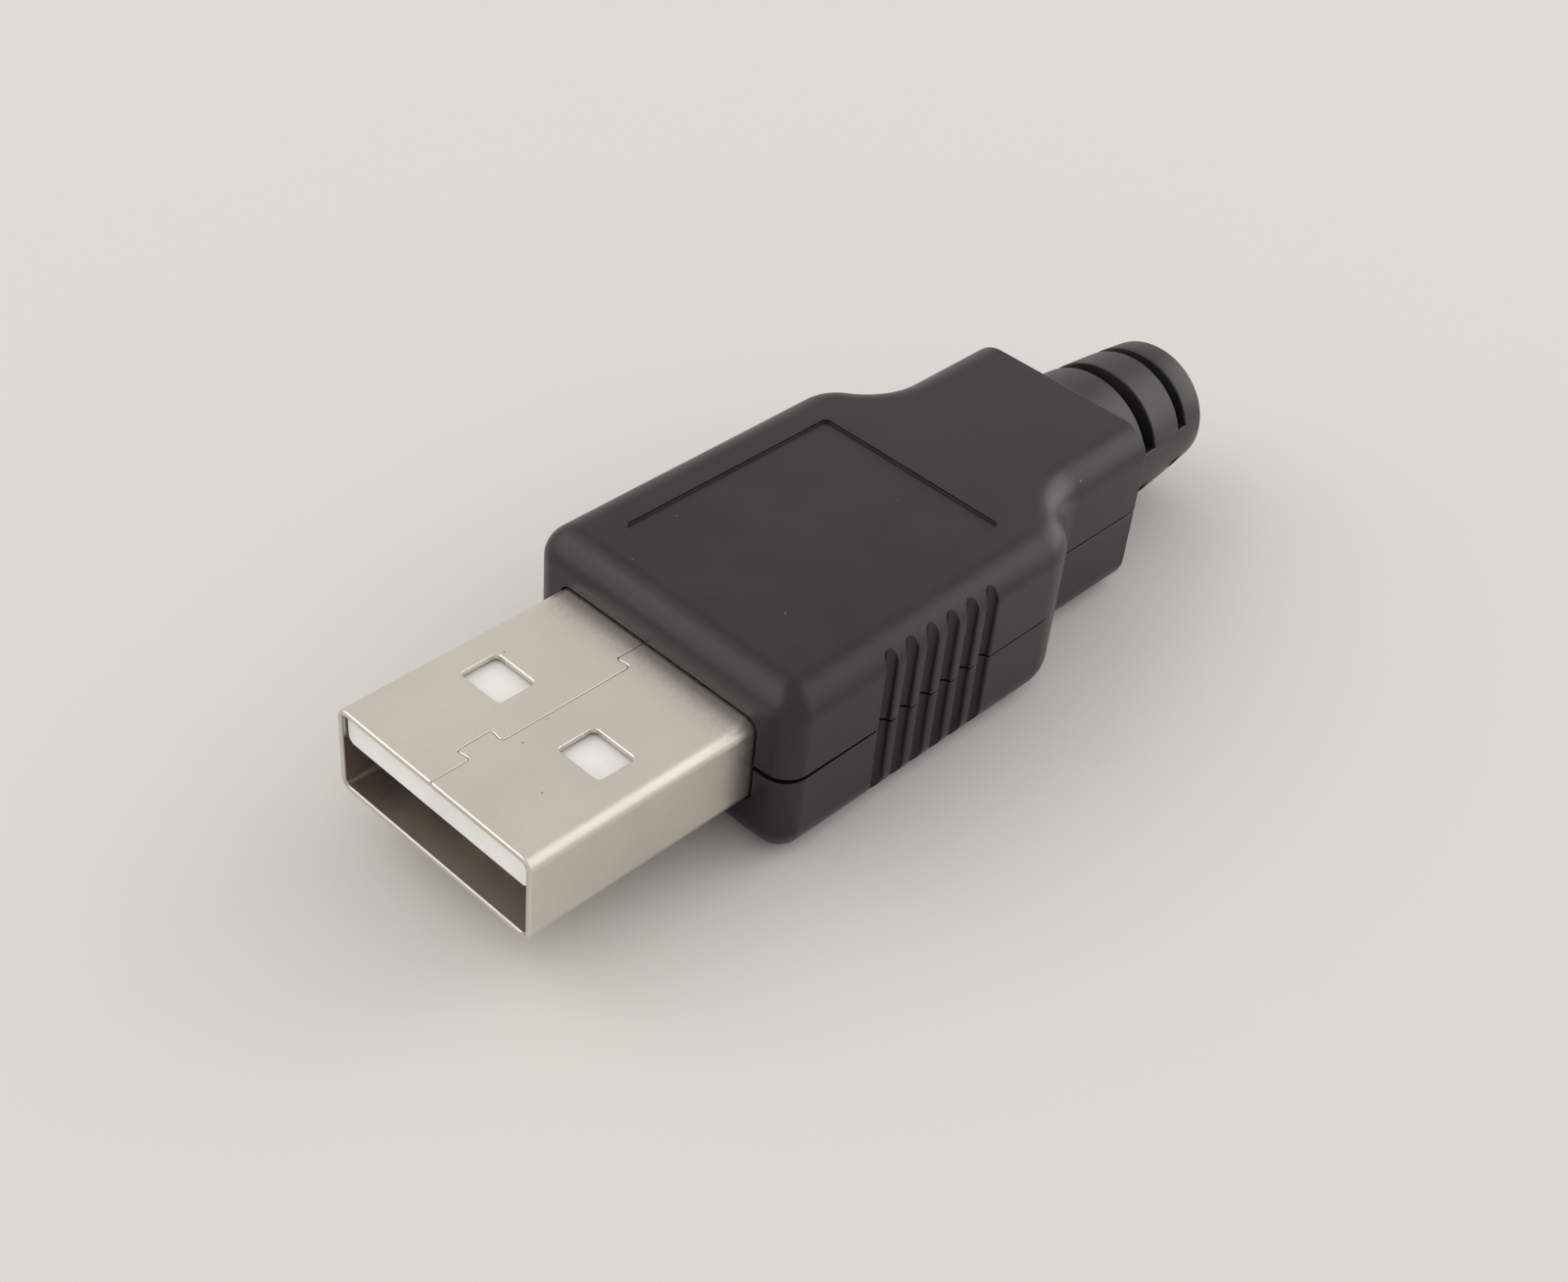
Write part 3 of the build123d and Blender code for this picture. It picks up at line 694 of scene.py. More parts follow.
    def snap_hooks(self):
        """Hooks rooted on the walls under the joint, clear of them above it, each with a barb."""
        sizes = self.sizes
        root_y, foot_z = self.wall_y + SUNK, self.roof_height + SUNK
        outer_y, top = self.wall_y - sizes.mouth_fit, -sizes.hook_height
        inner_y, barb = outer_y - sizes.hook_thickness, top + sizes.hook_barb_height
        outline = np.array([
            (inner_y, foot_z), (root_y, foot_z), (root_y, sizes.hook_root),
            (outer_y, sizes.hook_root), (outer_y, barb), (outer_y + sizes.hook_barb, barb),
            (outer_y, top), (inner_y, top),
        ])
        for x in self.hooks:
            for side in (1.0, -1.0):
                self.block(x, sizes.hook_width, outline * np.array([side, 1.0]))

    def flat_ends(self, columns, ends, throat_end, side_end):
        """The flat front round the mouth's arch, and the flat heel round the throat's."""
        self.fill(np.concatenate([columns[-1:, 1], columns[-2, 1:2], ends[side_end - 1 :]]))
        heel_top = middle_of(columns[:1, -1])
        self.fill(np.concatenate([ends[: throat_end + 1], columns[0, 1:], heel_top]))

    def broad_face(self, columns):
        """The broad face, with the sunk label field in the upper half."""
        rim = columns[len(self.heel_x) :, -1]
        rim = np.concatenate([middle_of(rim[:1]), rim])
        if self.upward < 0:
            self.fill(rim)
            return
        label = label_field(self.sizes)
        label_rim = label[:, 0]
        half = len(label_rim) // 2
        self.skin.fill(self.placed(np.concatenate([rim, label_rim[: half + 1]])))
        other_rim = np.concatenate([label_rim[:1], label_rim[: half - 1 : -1]])
        self.skin.fill(self.placed(np.concatenate([mirrored(rim), other_rim])))
        self.skin.strip(self.placed(label), closed=True)
        self.skin.fill(self.placed(label[:, -1]))


def label_field(sizes):
    """The label field's edge and walls as a grid, from the broad face down.

    A profile is carried round a rounded rectangle: a quarter-round lip, a short wall and a hollow
    round down to the floor.
    """
    center = (MOUTH_X - sizes.label_setback - sizes.label_length / 2, 0.0)
    size = (sizes.label_length, sizes.label_width)
    loop, normals = rounded_rectangle(center, size, sizes.label_corner)
    lip = sizes.label_lip
    aside = np.concatenate([lip * SHORT, -lip * SINK])
    depth = np.concatenate([lip * SINK, sizes.label_depth - lip * SHORT])
    plan = loop[:, None] + normals[:, None] * aside[:, None]
    return raised(plan, np.broadcast_to(HALF_HEIGHT - depth, plan.shape[:2]))


class SheetSection:
    """The shell's outer section as a function of the way s round it from the seam.

    Flats and quarter-circle folds follow each other: y = flat way + r * sin(turned angle), and
    z = half height - r + r * cos(turned angle) - way down the side. s is negative on the -Y side.
    """

    def __init__(self, sizes):
        self.radius = sizes.fold_round
        self.broad = sizes.width / 2 - self.radius
        self.upright = sizes.height - 2 * self.radius
        self.arc = self.radius * np.pi / 2
        self.half = 2 * self.broad + self.upright + 2 * self.arc
        self.top = sizes.height / 2

    def ways(self, split):
        """Ways round half the section: even steps in both folds, and one point on each flat."""
        steps = np.linspace(0, self.arc, FOLD_STEPS)
        second_fold = self.broad + self.arc + self.upright + steps
        return np.concatenate([[split], self.broad + steps, second_fold, [self.half - split]])

    def fold(self, x, s, depth):
        """Points of the folded sheet at station x, way s and depth below its outer face."""
        x, s, depth = np.broadcast_arrays(x, s, depth)
        way = np.abs(s)
        broad, arc, upright = self.broad, self.arc, self.upright
        first = np.clip(way - broad, 0, arc)
        second = np.clip(way - broad - arc - upright, 0, arc)
        turned = (first + second) / self.radius
        down = np.clip(way - broad - arc, 0, upright)
        back = np.clip(way - broad - 2 * arc - upright, 0, broad)
        y = np.clip(way, 0, broad) + self.radius * np.sin(turned) - back
        z = self.top - self.radius + self.radius * np.cos(turned) - down
        y, z = y - depth * np.sin(turned), z - depth * np.cos(turned)
        return np.stack([x, np.sign(s) * y, SHELL_Z + z], axis=-1)

    def rolled_edge(self, loop, inward, rounds, wall):
        """A cut edge of the sheet with both its corners rolled, its radius given at every point.

        The loop lies in the flat pattern (x, s), and inward points into the metal. Across the
        edge go a quarter round, the cut face and another quarter round.
        """
        rounds = np.broadcast_to(rounds, len(loop))[:, None]
        aside = rounds * np.concatenate([SHORT, SHORT[::-1]])
        outer, inner = rounds * SINK, wall - rounds * SINK[::-1]
        flat = loop[:, None] + inward[:, None] * aside[..., None]
        return self.fold(flat[..., 0], flat[..., 1], np.concatenate([outer, inner], axis=1))


def seam_line(sizes):
    """The seam's middle line in the flat pattern, from the rim back, stepped round each tab."""
    corners = [(SHELL_HIGH.x, 0.0)]
    for tab in range(sizes.tab_count):
        begin = SHELL_HIGH.x - sizes.tab_setback - tab * sizes.tab_spacing
        end = begin - sizes.tab_length
        corners += [
            (begin, 0.0),
            (begin + sizes.tab_flare, -sizes.tab_depth),
            (end - sizes.tab_flare, -sizes.tab_depth),
            (end, 0.0),
        ]
    return rounded_path([*corners, (SHELL_LOW.x, 0.0)], sizes.tab_bend, CORNER_STEPS)


def shell_skin(sizes):
    """The folded shell: rolled cut edges all round, filled by the sheet's two faces.

    Each side of the seam is drawn in the flat pattern (x, s), with s the way round the section
    from the seam, and folded by SheetSection.
    """
    section = SheetSection(sizes)
    skin = Skin()
    wall, gap, nose = sizes.wall, sizes.seam_gap / 2, sizes.seam_nose
    tip_x, back_x = SHELL_HIGH.x, SHELL_LOW.x
    window_x = tip_x - sizes.window_setback - sizes.window_length / 2
    window_size = (sizes.window_length, sizes.window_width)
    split = sizes.window_spacing / 2
    line, left = seam_line(sizes)
    ways = section.ways(split)
    count = len(ways)
    rim = np.stack([np.full(count, tip_x), ways], axis=1)
    rear = np.stack([np.full(count, back_x), ways], axis=1)
    rim_in = np.broadcast_to([-1.0, 0.0], (count, 2))
    rear_in = -rim_in

    for sign in (1, -1):
        mirror = np.array([1.0, sign])
        # The rim and this side's seam edge are one run, with a small corner between them
        away = -sign * left
        seam_edge = line + away * gap
        # A mitre joins the seam edge to the rear one: one inward vector for both, square to neither
        away[-1] = mirror
        ray = rays(0, -90, ROLL_STEPS)
        corner = (np.array([tip_x - nose, gap + nose]) + nose * ray) * mirror
        rim_run = np.concatenate([(rim * mirror)[::-1], corner, seam_edge[1:]])
        rim_inward = np.concatenate([rim_in, -ray * mirror, away[1:]])
        rim_round = np.concatenate([
            np.full(count, sizes.rim_round),
            np.linspace(sizes.rim_round, sizes.seam_round, len(corner)),
            np.full(len(seam_edge) - 1, sizes.seam_round),
        ])
        skin.strip(section.rolled_edge(rim_run, rim_inward, rim_round, wall))
        rear_run = np.concatenate([[[back_x, sign * gap]], rear * mirror])
        rear_inward = np.concatenate([[mirror], rear_in])
        skin.strip(section.rolled_edge(rear_run, rear_inward, sizes.seam_round, wall))

        windows = []
        for center_s in (split, section.half - split):
            loop, normals = rounded_rectangle(
                (window_x, sign * center_s), window_size, sizes.window_corner
            )
            edge = section.rolled_edge(loop, normals, sizes.window_round, wall)
            skin.strip(edge, closed=True)
            windows.append(loop + normals * sizes.window_round)
        borders = (
            rim * mirror + rim_in * sizes.rim_round,
            rear * mirror + rear_in * sizes.seam_round,
            rim_run[count:] + rim_inward[count:] * rim_round[count:, None],
            *windows,
        )
        for depth in (0.0, wall):
            folded = [section.fold(flat[:, 0], flat[:, 1], depth) for flat in borders]
            sheet_face(skin, sign, *folded)
        add_ear(skin, sizes, sign)
        # The middle of the bottom has no split, so its edges run on to the middle plane
        for run, inward, edge_round in (
            (rim, rim_in, sizes.rim_round), (rear, rear_in, sizes.seam_round)
        ):
            last = np.stack([run[-1], [run[-1, 0], section.half]]) * mirror
            skin.strip(section.rolled_edge(last, inward[:2], edge_round, wall))
    return skin


def sheet_face(skin, sign, rim, rear, seam, top_window, bottom_window):
    """One face of the sheet on one side of the seam, between the borders of its rolled edges.

    Strips run from the rim to the rear round the folds. Each broad face has two fills round its
    window: one out to the fold, and one in to the seam or to the middle of the bottom.
    """
    skin.strip(np.stack([rim[1:-1], rear[1:-1]], axis=1))
    rim_low, rear_low = rim[:-3:-1], rear[:-3:-1]
    middle = middle_of(np.concatenate([rear_low[:1], rim_low[:1]]))
    half = len(top_window) // 2
    for hole, rim_end, rear_end, closing, outward in (
        (top_window, rim[:2], rear[:2], seam[::-1], sign > 0),
        (bottom_window, rim_low, rear_low, middle, sign < 0),
    ):
        sides = [hole[: half + 1], np.concatenate([hole[half:], hole[:1]])[::-1]]
        far, near = sides if outward else sides[::-1]
        skin.fill(np.concatenate([rim_end[::-1], far, rear_end]))
        skin.fill(np.concatenate([rim_end[:1], near, rear_end[:1], closing]))


def add_ear(skin, sizes, sign):
    """An ear folded out at the shell's back end: a path on each side of the sheet, raised.

    Seen from above, the sheet's two faces are the folded middle line moved half the sheet along
    its normal. The wall between them is closed at both ends and filled above and below.
    """
    half, back_x = sizes.wall / 2, SHELL_LOW.x
    wall_y = sizes.width / 2 - half
    corners = [
        (back_x + sizes.ear_root, wall_y),
        (back_x + half, wall_y),
        (back_x + half, sizes.width / 2 + sizes.ear_reach),
    ]
    line, normal = rounded_path(corners, sizes.ear_bend + half, FOLD_STEPS)
    outline = np.concatenate([line + half * normal, (line - half * normal)[::-1]])
    heights = SHELL_Z + sizes.ear_height / 2 * np.array([-1.0, 1.0])
    columns = [np.column_stack([outline, np.full(len(outline), z)]) for z in heights]
    skin.prism(np.stack(columns, axis=1) * np.array([1.0, sign, 1.0]))


def tail_ring(sizes):
    """Unit vectors round the tail, and how much of a slot's depth each takes.

    In a quarter it is 0 on the web, rises over the slot's rolled lip, falls down the web's side
    and is 1 along the slot's floor. The other quarters are its mirror images.
    """
    lip_turn = np.degrees(sizes.lip_round / sizes.root_radius)
    web_top = np.linspace(0, HALF_WEB - lip_turn, WEB_STEPS)[:-1]
    floor = np.linspace(HALF_WEB + SLOT_FLOOR_START, 90, SLOT_FLOOR_STEPS)
    lip_share = sizes.lip_round * SINK / (sizes.root_radius - sizes.floor_radius)
    turn = np.concatenate([web_top, HALF_WEB - lip_turn * SHORT, [HALF_WEB + WEB_FALL], floor])
    share = np.concatenate([np.zeros(len(web_top)), lip_share, [1.0], np.ones(len(floor))])
    turns = [turn, 180 - turn[-2::-1], 180 + turn[1:], 360 - turn[-2:0:-1]]
    shares = [share, share[-2::-1], share[1:], share[-2:0:-1]]
    turns = np.radians(np.concatenate(turns))
    return np.stack([np.cos(turns), np.sin(turns)], axis=1), np.concatenate(shares)


def tail_stations(sizes):
    """The tail's profile from the bore's front, out at the free end and back along the sleeve.

    Each station has x, the radius without slots, and how much of a slot's depth it takes. The
    sleeve tapers evenly: its radius is the tip's plus the share of the way times the difference.
    """
    end_x, root_x = TAIL_LOW.x, HEEL_X - sizes.fit
    bore, lip, fine, rim = sizes.bore_radius, sizes.lip_round, sizes.fine_round, sizes.rim_round

    def radius_at(x):
        """The sleeve's radius at a station."""
        part = (x - end_x) / (root_x - end_x)
        return sizes.tip_radius + (sizes.root_radius - sizes.tip_radius) * part

    def profile(x, radius, bite=0.0):
        """Stations as rows of x, radius and share of a slot's depth."""
        return np.stack(np.broadcast_arrays(x, radius, bite), axis=1)

    def lip_at(x, sink):
        """Stations on a slot's rolled lip, sunk by these shares of its radius."""
        return profile(x, radius_at(x), lip * sink / (radius_at(x) - sizes.floor_radius))

    runs = [
        profile([TAIL_HIGH.x, end_x + BORE_HOLD], bore),
        profile(end_x + fine * SHORT, bore + fine * SINK),
        profile(end_x + rim * SINK, radius_at(end_x) - rim * SHORT),
    ]
    for place, length in zip(SLOT_PLACE_SHARES, SLOT_LENGTH_SHARES):
        start = HEEL_X - place * sizes.reach
        end = start - length * sizes.reach
        walls = np.array([end, start])
        runs += [
            lip_at(end - lip * SHORT, SINK),
            profile(walls, radius_at(walls), 1.0),
            lip_at(start + lip * SHORT[::-1], SINK[::-1]),
        ]
    runs += [
        profile(root_x - fine * SHORT, radius_at(root_x) - fine * SINK),
        profile([root_x, TAIL_HIGH.x - sizes.flange_length], sizes.throat_radius),
    ]
    return np.concatenate(runs).T


def tail_skin(sizes):
    """The cable tail as one closed grid of angle and profile.

    Its radius at each point is the sleeve's radius less a(angle) * b(station) * slot depth: a is
    1 in a slot and 0 on its webs, and b is 1 between the slot's walls, both with rolled lips. The
    flange is a superellipse of power p: radius = (|cos t / a|^p + |sin t / b|^p)^(-1 / p).
    """
    ray, share = tail_ring(sizes)
    x, radius, bite = tail_stations(sizes)
    around = radius - share[:, None] * bite * (radius - sizes.floor_radius)
    grid = np.stack(
        np.broadcast_arrays(x, around * ray[:, :1], PARTING_Z + around * ray[:, 1:]), axis=-1
    )
    cover = sizes_of("cover")
    half_flange = np.array([
        HALF_WIDTH - cover.neck_step - cover.wall - sizes.fit,
        HALF_HEIGHT - cover.roof - sizes.fit,
    ])
    reach = (np.abs(ray / half_flange) ** FLANGE_POWER).sum(axis=1) ** (-1 / FLANGE_POWER)
    axis = np.array([0.0, PARTING_Z])
    flange, bore = axis + reach[:, None] * ray, axis + sizes.bore_radius * ray
    front_x = TAIL_HIGH.x
    flange_grid = np.stack(
        [
            at_station(front_x - sizes.flange_length, flange),
            at_station(front_x, flange),
            at_station(front_x, bore),
        ],
        axis=1,
    )
    skin = Skin()
    skin.strip(np.concatenate([grid, flange_grid], axis=1), closed=True)
    return skin


class Nodes:
    """Builds one procedural material, node by node."""

    def __init__(self, name):
        self.material = bpy.data.materials.new(name)
        self.material.use_nodes = True
        self.tree = self.material.node_tree
        self.shader = self.tree.nodes["Principled BSDF"]
        self.place = self.add("ShaderNodeTexCoord").outputs["Object"]

    def add(self, kind, **settings):
        """A node of this kind with its settings."""
        node = self.tree.nodes.new(kind)
        for key, value in settings.items():
            setattr(node, key, value)
        return node

    def link(self, output, socket):
        """A link from a node's output to another's input."""
        self.tree.links.new(output, socket)

    def noise(self, scale, detail=2.0, roughness=0.5, stretch=(1, 1, 1)):
        """Noise over the object's coordinates, in features a metre, squeezed by stretch."""
        mapping = self.add("ShaderNodeMapping")
        mapping.inputs["Scale"].default_value = stretch
        self.link(self.place, mapping.inputs["Vector"])
        node = self.add("ShaderNodeTexNoise")
        node.inputs["Scale"].default_value = scale
        node.inputs["Detail"].default_value = detail
        node.inputs["Roughness"].default_value = roughness
        self.link(mapping.outputs["Vector"], node.inputs["Vector"])
        return node.outputs["Fac"]

    def spread(self, value, start, end):
        """Carries a value from one range to another, held at the ends."""
        node = self.add("ShaderNodeMapRange")
        for key, amount in zip(("From Min", "From Max", "To Min", "To Max"), (*start, *end)):
            node.inputs[key].default_value = amount
        self.link(value, node.inputs["Value"])
        return node.outputs["Result"]

    def blend(self, share, first, second):
        """A colour between two, each a socket or three numbers."""
        node = self.add("ShaderNodeMix", data_type="RGBA")
        self.link(share, node.inputs[0])
        for socket, colour in ((node.inputs[6], first), (node.inputs[7], second)):
            if isinstance(colour, bpy.types.NodeSocket):
                self.link(colour, socket)
            else:
                socket.default_value = (*colour, 1.0)
        return node.outputs[2]

    def mottled(self, value, colour, other):
        """A colour that drifts to another with a noise value."""
        return self.blend(self.spread(value, (0.35, 0.7), (0.0, 1.0)), colour, other)

    def gloss(self, value, smooth, rough):
        """A roughness that drifts with a noise value."""
        return self.spread(value, (0.3, 0.7), (smooth, rough))

    def maths(self, operation, first, second=None):
        """One arithmetic step on a value and a number or another value."""
        node = self.add("ShaderNodeMath", operation=operation)
        self.link(first, node.inputs[0])
        if isinstance(second, bpy.types.NodeSocket):
            self.link(second, node.inputs[1])
        elif second is not None:
            node.inputs[1].default_value = second
        return node.outputs[0]

    def bump(self, height, distance, strength):
        """A normal that follows a height, whose full range is distance in metres."""
        node = self.add("ShaderNodeBump")
        node.inputs["Distance"].default_value = distance
        node.inputs["Strength"].default_value = strength
        self.link(height, node.inputs["Height"])
        return node.outputs["Normal"]

    def set(self, **values):
        """Shader sockets by name, a number, a colour or another node's output."""
        for key, value in values.items():
            socket = self.shader.inputs[key.replace("_", " ")]
            if isinstance(value, bpy.types.NodeSocket):
                self.link(value, socket)
            elif isinstance(value, (int, float)):
                socket.default_value = value
            else:
                socket.default_value = (*value, 1.0)
        return self.material


def shade(colour, share, lift=0.0):
    """The same colour times a share, and lifted by an even grey."""
    return tuple(min(1.0, share * part + lift) for part in colour)


def moulded_plastic(name, colour, roughness, grain):
    """Black moulded plastic: fine spark-eroded grain, slow gloss changes and pale dust specks."""
    made = Nodes(name)
    slow = made.noise(260.0, detail=3.0)
    fine = made.noise(14000.0)
    specks = made.noise(2600.0, detail=1.0)
    dust = made.spread(specks, (0.80, 0.83), (0.0, 0.35))
    base = made.mottled(slow, colour, shade(colour, 1.5, lift=0.004))
    base = made.blend(dust, base, (0.30, 0.29, 0.28))
    return made.set(
        Base_Color=base, Roughness=made.gloss(slow, roughness - 0.05, roughness + 0.06),
        Specular_Tint=(1.0, 0.93, 0.985), Normal=made.bump(fine, grain, strength=0.6),
    )


def nickel_plate(name, colour, shaded_inside_colour, sizes):
    """Satin nickel over drawn steel, with slow staining, fine mottled gloss and a few dark specks.

    Near the cover it is scuffed. Inside the fold the nickel is painted darker and browner: this
    is painted shade, standing for the shade in the shell's mouth. A point is inside where both
    its distance from the middle plane and its distance from the mid-height are less than half
    the section less nearly the whole sheet.
    """
    made = Nodes(name)
    grain = made.noise(5200.0, roughness=0.6)
    slow = made.noise(190.0, detail=3.0)
    specks = made.spread(made.noise(2300.0, detail=0.0), (0.85, 0.87), (0.0, 0.6))
    base = made.mottled(slow, colour, shade(colour, 0.93))
    base = made.blend(specks, base, (0.16, 0.13, 0.10))
    split = made.add("ShaderNodeSeparateXYZ")
    made.link(made.place, split.inputs[0])
    inset = SHADED_DEPTH_SHARE * sizes.wall
    across = made.maths("ABSOLUTE", split.outputs["Y"])
    aside = made.maths("SUBTRACT", across, sizes.width / 2 - inset)
    height = made.maths("ABSOLUTE", made.maths("SUBTRACT", split.outputs["Z"], SHELL_Z))
    over = made.maths("SUBTRACT", height, sizes.height / 2 - inset)
    # Points inside the shell get the darker nickel, which is painted shade
    inside = made.maths("LESS_THAN", made.maths("MAXIMUM", aside, over), 0.0)
    scuffed = made.spread(split.outputs["X"], (MOUTH_X, MOUTH_X + 1.8 * MM), (0.5, 0.0))
    marks = made.maths("MULTIPLY", made.spread(grain, (0.50, 0.62), (0.0, 1.0)), scuffed)
    base = made.blend(marks, base, shade(colour, 0.6))
    return made.set(
        Base_Color=made.blend(inside, base, shaded_inside_colour), Metallic=1.0,
        Roughness=made.gloss(grain, 0.29, 0.41), Normal=made.bump(grain, 0.0016 * MM, strength=0.5),
    )


def white_plastic(name, colour):
    """Slightly translucent white core with faint flow marks."""
    made = Nodes(name)
    slow = made.noise(500.0, detail=3.0, stretch=(0.4, 1.0, 1.0))
    fine = made.noise(9000.0)
    return made.set(
        Base_Color=made.mottled(slow, colour, shade(colour, 0.92)), Roughness=0.48,
        Subsurface_Weight=0.12, Subsurface_Scale=0.4 * MM,
        Normal=made.bump(fine, 0.003 * MM, strength=0.5),
    )


def contact_plate(name, colour):
    """Gold-coloured plating with wiping marks along the contact."""
    made = Nodes(name)
    lines = made.noise(2500.0, detail=3.0, roughness=0.6, stretch=(0.15, 5.0, 5.0))
    return made.set(
        Base_Color=made.mottled(lines, colour, shade(colour, 0.8)), Metallic=1.0,
        Roughness=made.gloss(lines, 0.22, 0.34), Normal=made.bump(lines, 0.003 * MM, strength=0.5),
    )


class PLUG_OT_add_cover(bpy.types.Operator):
    """Add the two halves of the black cover"""

    bl_idname = "plug.add_cover"
    bl_label = "Cover Halves"

    def execute(self, context):
        colour = sizes_of("finishes").cover
        finish = moulded_plastic("black_plastic", colour, roughness=0.36, grain=0.006 * MM)
        for name, upward in (("cover_upper", 1), ("cover_lower", -1)):
            skin = CoverHalf(sizes_of("cover"), upward).skin
            skin.piece(name + "_moulding", finish, "cover_black", name)
        return {"FINISHED"}


class PLUG_OT_add_shell(bpy.types.Operator):
    """Add the folded metal shell"""

    bl_idname = "plug.add_shell"
    bl_label = "Metal Shell"

    def execute(self, context):
        finishes = sizes_of("finishes")
        # finishes.inner is a darker nickel that paints the shade inside the shell
        finish = nickel_plate("nickel_plate", finishes.nickel, finishes.inner, sizes_of("shell"))
        shell_skin(sizes_of("shell")).piece("folded_shell", finish, "nickel", "plug_shell")
        return {"FINISHED"}


class PLUG_OT_add_tail(bpy.types.Operator):
    """Add the slotted cable tail"""

    bl_idname = "plug.add_tail"
    bl_label = "Cable Tail"

    def execute(self, context):
        colour = sizes_of("finishes").tail
        finish = moulded_plastic("soft_plastic", colour, roughness=0.42, grain=0.004 * MM)
        tail_skin(sizes_of("tail")).piece("slotted_tail", finish, "tail_black", "cable_tail")
        return {"FINISHED"}


class PLUG_OT_finish_core(bpy.types.Operator):
    """Give the white core and the contacts their finishes"""

    bl_idname = "plug.finish_core"
    bl_label = "Core and Contacts"

    def execute(self, context):
        finishes = sizes_of("finishes")
        white = white_plastic("white_plastic", finishes.core)
        plated = contact_plate("contact_plate", finishes.contacts)
        for name, finish in (("insulator", white), *((contact, plated) for contact in CONTACTS)):
            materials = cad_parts[name].data.materials
            materials.clear()
            materials.append(finish)
        return {"FINISHED"}


class PLUG_OT_add_stage(bpy.types.Operator):
    """Add the floor, the sky, the lamps and the camera"""

    bl_idname = "plug.add_stage"
    bl_label = "Stage"

    def execute(self, context):
        settings = sizes_of("stage")
        add_floor(context.scene, settings)
        add_sky(context.scene, settings)
        for name, direction, size, watts in (
            ("left_lamp", (0.15, -0.70, 0.70), 0.9, settings.left_lamp),
            ("right_lamp", (-0.68, 0.58, 0.45), 1.7, settings.right_lamp),
            ("front_lamp", (0.66, -0.50, 0.56), 1.4, settings.front_lamp),
            ("back_lamp", (-0.94, 0.25, 0.30), 1.2, settings.back_lamp),
        ):
            add_lamp(context.scene, settings, name, np.array(direction), size, watts)
        add_camera(context.scene, settings)
        context.scene.view_settings.view_transform = "Standard"
        return {"FINISHED"}


def add_floor(scene, settings):
    """A plain pale square under the plug."""
    finish = Nodes("pale_floor").set(Base_Color=tuple(settings.floor), Roughness=0.9)
    square = settings.floor_size / 2 * np.array([(-1, -1), (1, -1), (1, 1), (-1, 1)])
    mesh = bpy.data.meshes.new("floor")
    mesh.from_pydata([(x, y, -FLOOR_DROP) for x, y in square], [], [(0, 1, 2, 3)])
    mesh.materials.append(finish)
    floor = bpy.data.objects.new("floor", mesh)
    scene.collection.objects.link(floor)


def add_sky(scene, settings):
    """Even light from all round."""
    world = bpy.data.worlds.new("even_sky")
    world.use_nodes = True
    background = world.node_tree.nodes["Background"]
    background.inputs["Color"].default_value = (*settings.sky_colour, 1.0)
    background.inputs["Strength"].default_value = settings.sky
    scene.world = world


def add_lamp(scene, settings, name, direction, size, watts):
    """A soft disc in this direction from the plug, turned to it."""
    lamp = bpy.data.lights.new(name, "AREA")
    lamp.shape = "DISK"
    lamp.size = size
    lamp.energy = watts
    lamp.color = settings.lamp_colour
    back = direction / np.linalg.norm(direction)
    right = np.cross([0.0, 1.0, 0.0], back)
    right = right / np.linalg.norm(right)
    place = bpy.data.objects.new(name, lamp)
    place.matrix_world = facing(right, back, settings.lamp_distance * direction)
    scene.collection.objects.link(place)


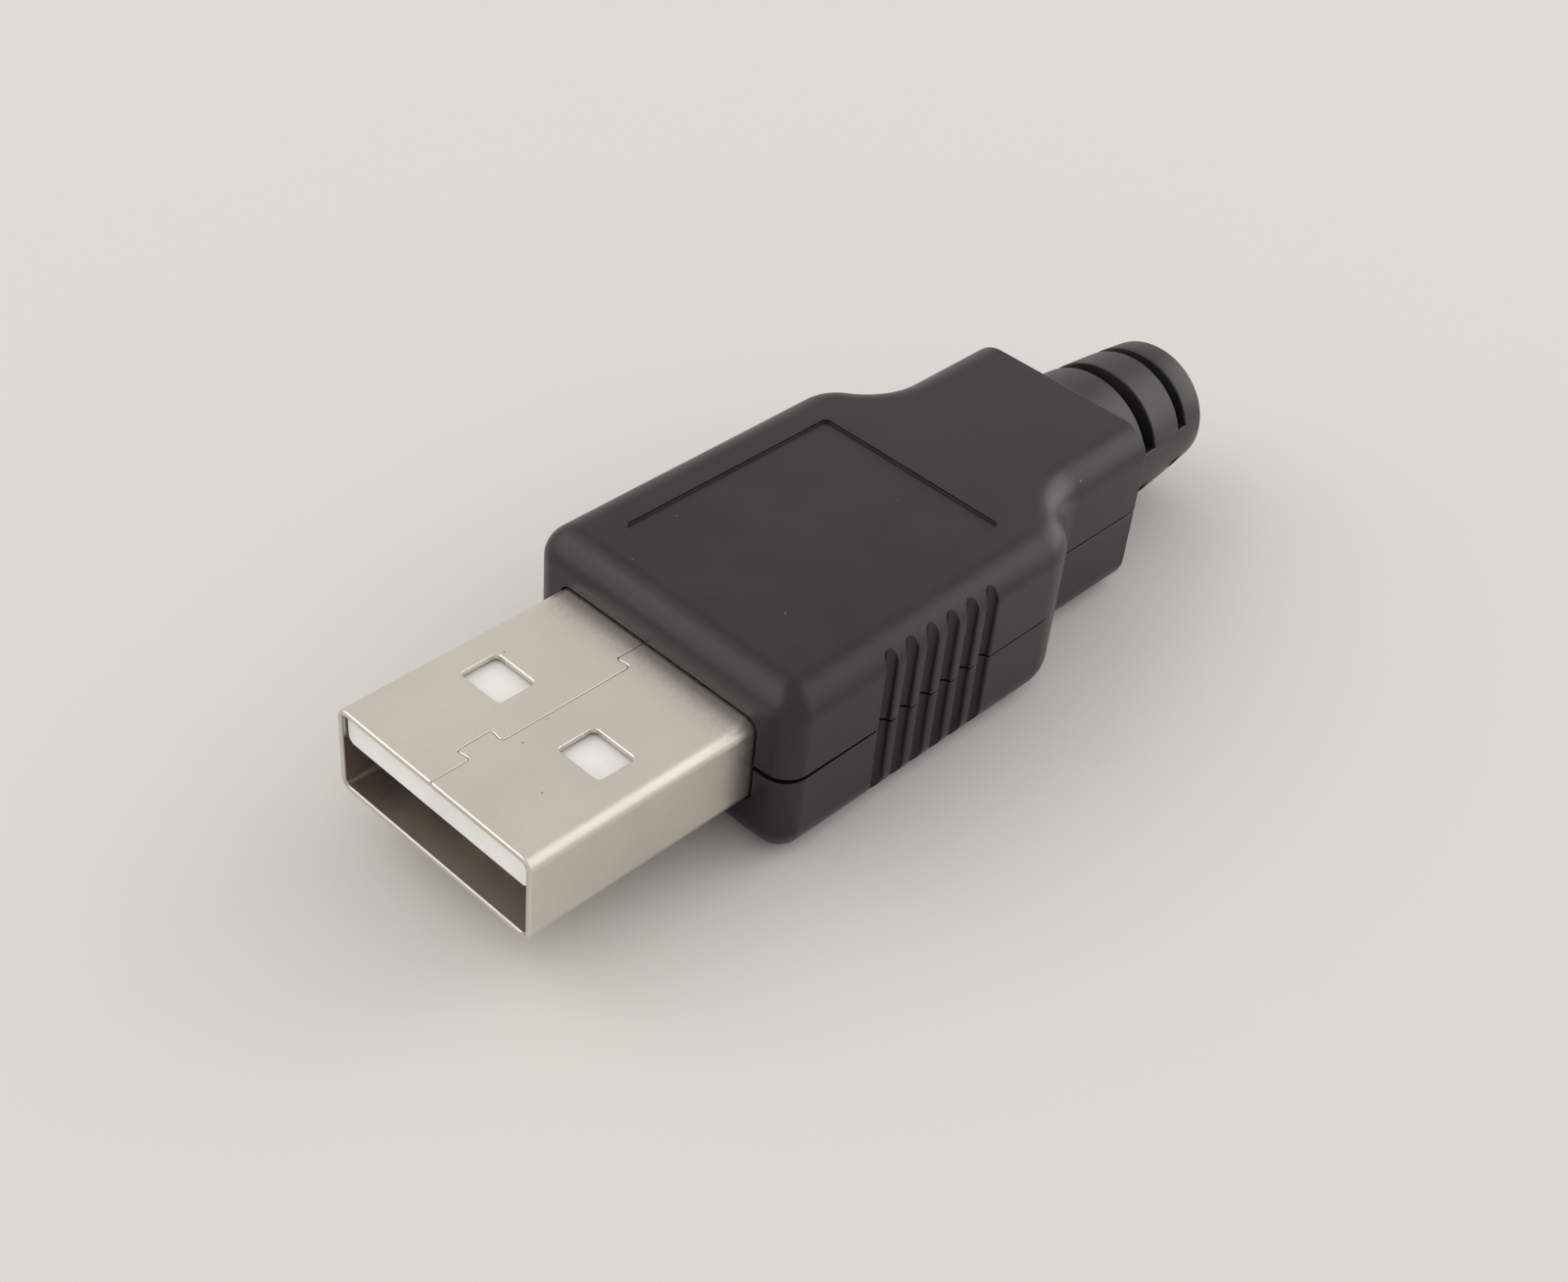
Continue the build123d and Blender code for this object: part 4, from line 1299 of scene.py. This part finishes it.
def add_camera(scene, settings):
    """The photograph's camera, placed by where it sees the middle of the shell's rim.

    With azimuth a and elevation e, the way from what it sees back to it is
    (cos e * cos a, cos e * sin a, sin e). Held level, its right is (-sin a, cos a, 0), and its up
    is square to both. A lean of t turns its right to right * cos t + up * sin t.
    """
    azimuth, elevation, lean = settings.azimuth, settings.elevation, settings.lean
    around = np.array([np.cos(azimuth), np.sin(azimuth), 0.0])
    back = np.cos(elevation) * around + np.array([0.0, 0.0, np.sin(elevation)])
    level = np.array([-np.sin(azimuth), np.cos(azimuth), 0.0])
    right = level * np.cos(lean) + np.cross(back, level) * np.sin(lean)
    up = np.cross(back, right)
    rim = np.array([SHELL_HIGH.x, 0.0, SHELL_Z])
    seen = settings.rim_right * right - settings.rim_down * up - settings.rim_ahead * back
    camera = bpy.data.cameras.new("camera")
    camera.lens = settings.lens
    camera.sensor_width = SENSOR_WIDTH
    camera.clip_start = NEAR_CLIP
    place = bpy.data.objects.new("camera", camera)
    place.matrix_world = facing(right, back, rim - seen)
    scene.collection.objects.link(place)
    scene.camera = place


def facing(right, back, place):
    """A placement whose X is right and whose -Z looks away from back."""
    view = Matrix.Identity(4)
    for row, parts in enumerate(zip(right, np.cross(back, right), back, place)):
        view[row][:] = parts
    return view


class PLUG_PT_sidebar(bpy.types.Panel):
    """Adds the plug's pieces, and shows the sizes and colours that they take"""

    bl_label = "Cable Plug"
    bl_idname = "PLUG_PT_sidebar"
    bl_space_type = "VIEW_3D"
    bl_region_type = "UI"
    bl_category = "Plug"

    def draw(self, context):
        for operator in OPERATORS:
            self.layout.operator(operator.bl_idname)
        for name in SETTINGS:
            settings = getattr(context.scene, "plug_" + name)
            box = self.layout.box()
            box.label(text=name.capitalize())
            for key in type(settings).__annotations__:
                box.prop(settings, key)


SETTINGS = {
    "cover": CoverSizes,
    "shell": ShellSizes,
    "tail": TailSizes,
    "finishes": PlugFinishes,
    "stage": StageSettings,
}
OPERATORS = (
    PLUG_OT_add_cover,
    PLUG_OT_add_shell,
    PLUG_OT_add_tail,
    PLUG_OT_finish_core,
    PLUG_OT_add_stage,
)


def register():
    for group in SETTINGS.values():
        bpy.utils.register_class(group)
    for name, group in SETTINGS.items():
        setattr(bpy.types.Scene, "plug_" + name, PointerProperty(type=group))
    for operator in OPERATORS:
        bpy.utils.register_class(operator)
    bpy.utils.register_class(PLUG_PT_sidebar)


def unregister():
    bpy.utils.unregister_class(PLUG_PT_sidebar)
    for operator in reversed(OPERATORS):
        bpy.utils.unregister_class(operator)
    for name, group in SETTINGS.items():
        delattr(bpy.types.Scene, "plug_" + name)
        bpy.utils.unregister_class(group)


def main():
    register()
    bpy.ops.plug.add_cover()
    bpy.ops.plug.add_shell()
    bpy.ops.plug.add_tail()
    bpy.ops.plug.finish_core()
    bpy.ops.plug.add_stage()


if __name__ == "__main__":
    main()
